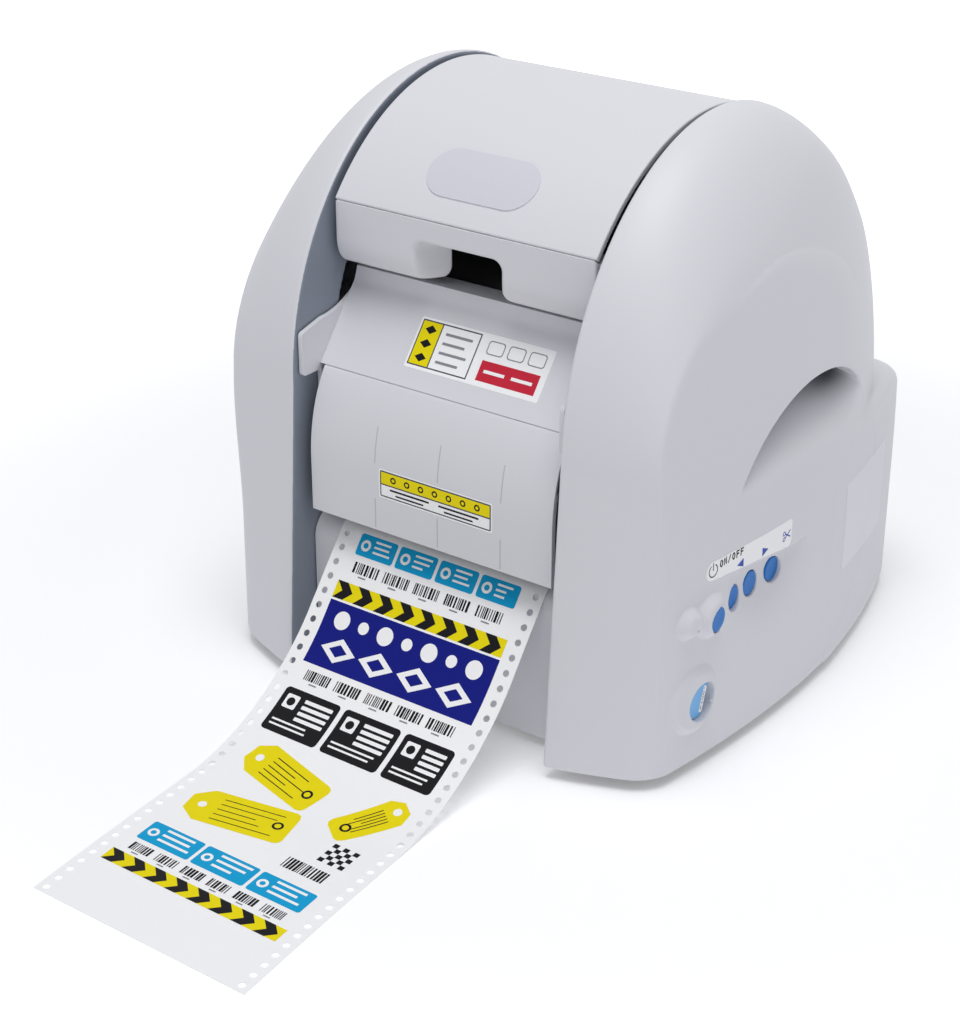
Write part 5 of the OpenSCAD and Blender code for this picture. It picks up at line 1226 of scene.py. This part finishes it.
# %% Numbers and pointer of the dial
SEGMENTS = {"1": "ef", "2": "abged", "3": "abgcd", "4": "fgbc", "5": "afgcd"}
dial_page = Print(DialFace, facing=1.0)
half_flat = math.sqrt(DIAL_R ** 2 - GRIP_FLAT ** 2) - 0.5
dial_page.box("white", GRIP_FLAT - 3.0, GRIP_FLAT - 0.35, -half_flat, half_flat, 1, 0.3)
for place, digit in enumerate(SEGMENTS):
    p, q, w, h, pen = GRIP_FLAT - 2.4, 3.8 - 2.1 * place, 1.05, 1.6, 0.26
    lines = {"a": (0, w, h - pen, h), "b": (w - pen, w, h / 2, h - pen), "c": (w - pen, w, pen, h / 2),
             "d": (0, w, 0, pen), "e": (0, pen, pen, h / 2), "f": (0, pen, h / 2, h - pen),
             "g": (pen, w - pen, h / 2 - pen / 2, h / 2 + pen / 2)}
    for segment in SEGMENTS[digit]:
        p0, p1, q0, q1 = lines[segment]
        dial_page.box("black", p + p0, p + p1, q + q0, q + q1, 2)
dial_page.lay("dial_numbers", body="dial", slot="dial")
pointer_outline = [(-77.6, 30.6), (-72.0, 32.6), (-71.6, 27.2)]
pointer_solid = prism(pointer_outline, DIAL_FACE_X + 1.8, DIAL_FACE_X + 3.6)
pointer = make_piece("dial_pointer", *pointer_solid, shell_grey)
round_edges(pointer, 0.3)

# %% [markdown]
# The four buttons sit a little below the panel in their holes. Each is turned from one profile, with a
# stem, a flange that keeps it in the housing and a slightly hollow top. The lamp is a narrow dark window in
# the bezel.


# %% Buttons and lamp window
def turned(profile, y, z, sides=56):
    """A profile of x and radius, turned about the X direction through y and z."""
    turns = [2.0 * math.pi * i / sides for i in range(sides)]
    points, faces, rings = [], [], []
    for x, radius in profile:
        start = len(points)
        if radius == 0.0:
            points.append((x, y, z))
            rings.append([start] * sides)
        else:
            points += [(x, y + radius * math.cos(a), z + radius * math.sin(a)) for a in turns]
            rings.append(list(range(start, start + sides)))
    for low, high in zip(rings[:-1], rings[1:]):
        for i in range(sides):
            corners = [low[i - 1], low[i], high[i], high[i - 1]]
            faces.append([c for k, c in enumerate(corners) if c not in corners[:k]])
    return points, faces


CONTROL_BACK_X, BUTTON_R, RIM_R = float(barrel_x(DIAL_Y)) - 7.0, 5.5, 6.6
for name, key, spot_y in zip(("power_button", "back_button", "feed_button", "cut_button"),
                             ("power_key", "back_key", "feed_key", "cut_key"), BUTTON_YS):
    rim = np.array([(spot_y + RIM_R * math.cos(a), BUTTON_Z + RIM_R * math.sin(a))
                    for a in np.linspace(0.0, 6.0, 12)])
    low = float(CheekFace.place(rim, 0.0)[:, 0].min()) - 0.1
    top = float(barrel_x(spot_y)) + BEZEL_RISE if name == "power_button" else low
    profile = [(CONTROL_BACK_X - 5.0, 0.0), (CONTROL_BACK_X - 5.0, 1.6), (CONTROL_BACK_X - 2.4, 1.6),
               (CONTROL_BACK_X - 2.4, BUTTON_R + 1.4), (CONTROL_BACK_X - 0.3, BUTTON_R + 1.4),
               (CONTROL_BACK_X - 0.3, BUTTON_R), (top - 0.4, BUTTON_R), (top - 0.1, BUTTON_R - 0.12),
               (top, BUTTON_R - 0.45), (top - 0.12, BUTTON_R * 0.6), (top - 0.2, BUTTON_R * 0.3),
               (top - 0.22, 0.0)]
    make_piece(name + "_cap", *turned(profile, spot_y, BUTTON_Z), button_blue, body=key, slot="blue_button",
               stands_for=(name,))
    print(name, "top at", round(top, 2))
LENS_X = float(barrel_x(LAMP_Y)) + BEZEL_RISE + 0.3
window = arc_points(LAMP_Y, LAMP_Z + 1.1, 0.6, 0.0, 180.0, 8)
window += arc_points(LAMP_Y, LAMP_Z - 1.1, 0.6, 180.0, 360.0, 8)
make_piece("lamp_window", *prism(window, LENS_X - 0.5, LENS_X + 0.06), black_plastic, slot="lamp")

# %% [markdown]
# ## Studio and camera
# The portrait was taken from the printer's front right, from a little above, with a long lens. A pale floor
# and soft lamps light it evenly, and the floor and the background turn white for the camera alone. The floor
# also glows faintly for all other light, a weak light from below in place of the desk's bounce.


# %% Background
def brighter_to_camera(tree, shader_socket, bright_socket, target):
    """The bright shader for the camera and for mirror-like surfaces, the plain one for all other light."""
    path = tree.nodes.new("ShaderNodeLightPath")
    seen = add_math(tree, "MAXIMUM", path.outputs["Is Camera Ray"], path.outputs["Is Transmission Ray"])
    seen = add_math(tree, "MAXIMUM", seen, path.outputs["Is Glossy Ray"])
    mix = tree.nodes.new("ShaderNodeMixShader")
    tree.links.new(seen, mix.inputs[0])
    tree.links.new(shader_socket, mix.inputs[1])
    tree.links.new(bright_socket, mix.inputs[2])
    tree.links.new(mix.outputs[0], target.inputs["Surface"])


def with_glow(tree, shader_socket, strength):
    """A shader with some light of its own added."""
    glow, both = tree.nodes.new("ShaderNodeEmission"), tree.nodes.new("ShaderNodeAddShader")
    if isinstance(strength, float):
        glow.inputs["Strength"].default_value = strength
    else:
        tree.links.new(strength, glow.inputs["Strength"])
    tree.links.new(shader_socket, both.inputs[0])
    tree.links.new(glow.outputs[0], both.inputs[1])
    return both.outputs[0]


ROOM_LIGHT, FLOOR_HALF, FLOOR_BOUNCE, WHITE_FROM, WHITE_AT = 0.36, 6.0, 0.2, 0.22, 0.9
world = bpy.data.worlds.new("Soft room")
bpy.context.scene.world = world
world.use_nodes = True
sky = world.node_tree.nodes["Background"]
sky.inputs["Color"].default_value = (0.93, 0.95, 1.0, 1.0)
sky.inputs["Strength"].default_value = ROOM_LIGHT
white_sky = world.node_tree.nodes.new("ShaderNodeBackground")
white_sky.inputs["Color"].default_value = (1.0, 1.0, 1.0, 1.0)
brighter_to_camera(world.node_tree, sky.outputs[0], white_sky.outputs[0],
                   world.node_tree.nodes["World Output"])
print("room light", ROOM_LIGHT)

# %% Floor
floor_mesh = bpy.data.meshes.new("floor")
floor_corners = [(FLOOR_HALF * i, FLOOR_HALF * j, 0.0) for i, j in ((-1, -1), (1, -1), (1, 1), (-1, 1))]
floor_mesh.from_pydata(floor_corners, [], [(0, 1, 2, 3)])
floor = bpy.data.objects.new("floor", floor_mesh)
bpy.context.scene.collection.objects.link(floor)
floor_white = bpy.data.materials.new("Floor white")
floor_white.use_nodes = True
tree = floor_white.node_tree
paint = tree.nodes["Principled BSDF"]
paint.inputs["Base Color"].default_value = (0.9, 0.9, 0.92, 1.0)
paint.inputs["Roughness"].default_value = 0.9
paint.inputs["Specular IOR Level"].default_value = 0.0
floor_place, from_middle = tree.nodes.new("ShaderNodeTexCoord"), tree.nodes.new("ShaderNodeVectorMath")
from_middle.operation = "LENGTH"
tree.links.new(floor_place.outputs["Object"], from_middle.inputs[0])
rise = ramp(tree, from_middle.outputs["Value"], WHITE_FROM, WHITE_AT, WHITE_FROM, WHITE_AT)
# The floor glows a little for all other light as well: a weak light from below that stands in for the desk's
# bounce.
lit_floor = with_glow(tree, paint.outputs[0], FLOOR_BOUNCE)
white_floor = with_glow(tree, paint.outputs[0], rise)
brighter_to_camera(tree, lit_floor, white_floor, tree.nodes["Material Output"])
floor_mesh.materials.append(floor_white)
print("stage ready")


# %% Lamps
def area_lamp(name, place, target, size, power):
    light = bpy.data.lights.new(name, "AREA")
    light.shape = "SQUARE"
    light.size = size
    light.energy = power
    lamp = bpy.data.objects.new(name, light)
    lamp.location = place
    lamp.rotation_euler = (Vector(target) - Vector(place)).to_track_quat("-Z", "Y").to_euler()
    bpy.context.scene.collection.objects.link(lamp)


area_lamp("Top soft box", (0.2, -0.3, 1.8), (0, 0, 0.1), 1.0, 17.5)
area_lamp("Side fill", (1.1, -1.4, 0.3), (0, 0, 0.05), 1.0, 1.4)
print("lamps", len(bpy.data.lights))

# %% Camera
SENSOR_MM, FRAME_PIXELS, FOCAL_PIXELS = 36.0, 1020.0, 2161.8
CAMERA_PLACE, CAMERA_DOWN, CAMERA_ROUND = (0.5058, -0.7637, 0.5007), 25.97, 36.43
view = bpy.data.cameras.new("Portrait camera")
view.sensor_fit = "AUTO"
view.sensor_width = SENSOR_MM
view.lens = SENSOR_MM * FOCAL_PIXELS / FRAME_PIXELS
view.clip_start, view.clip_end = 0.01, 50.0
camera = bpy.data.objects.new("Portrait camera", view)
camera.location = CAMERA_PLACE
camera.rotation_euler = (math.radians(90.0 - CAMERA_DOWN), 0.0, math.radians(CAMERA_ROUND))
bpy.context.scene.collection.objects.link(camera)
bpy.context.scene.camera = camera
bpy.context.scene.view_settings.view_transform = "Standard"
print("lens", round(view.lens, 2), "mm")
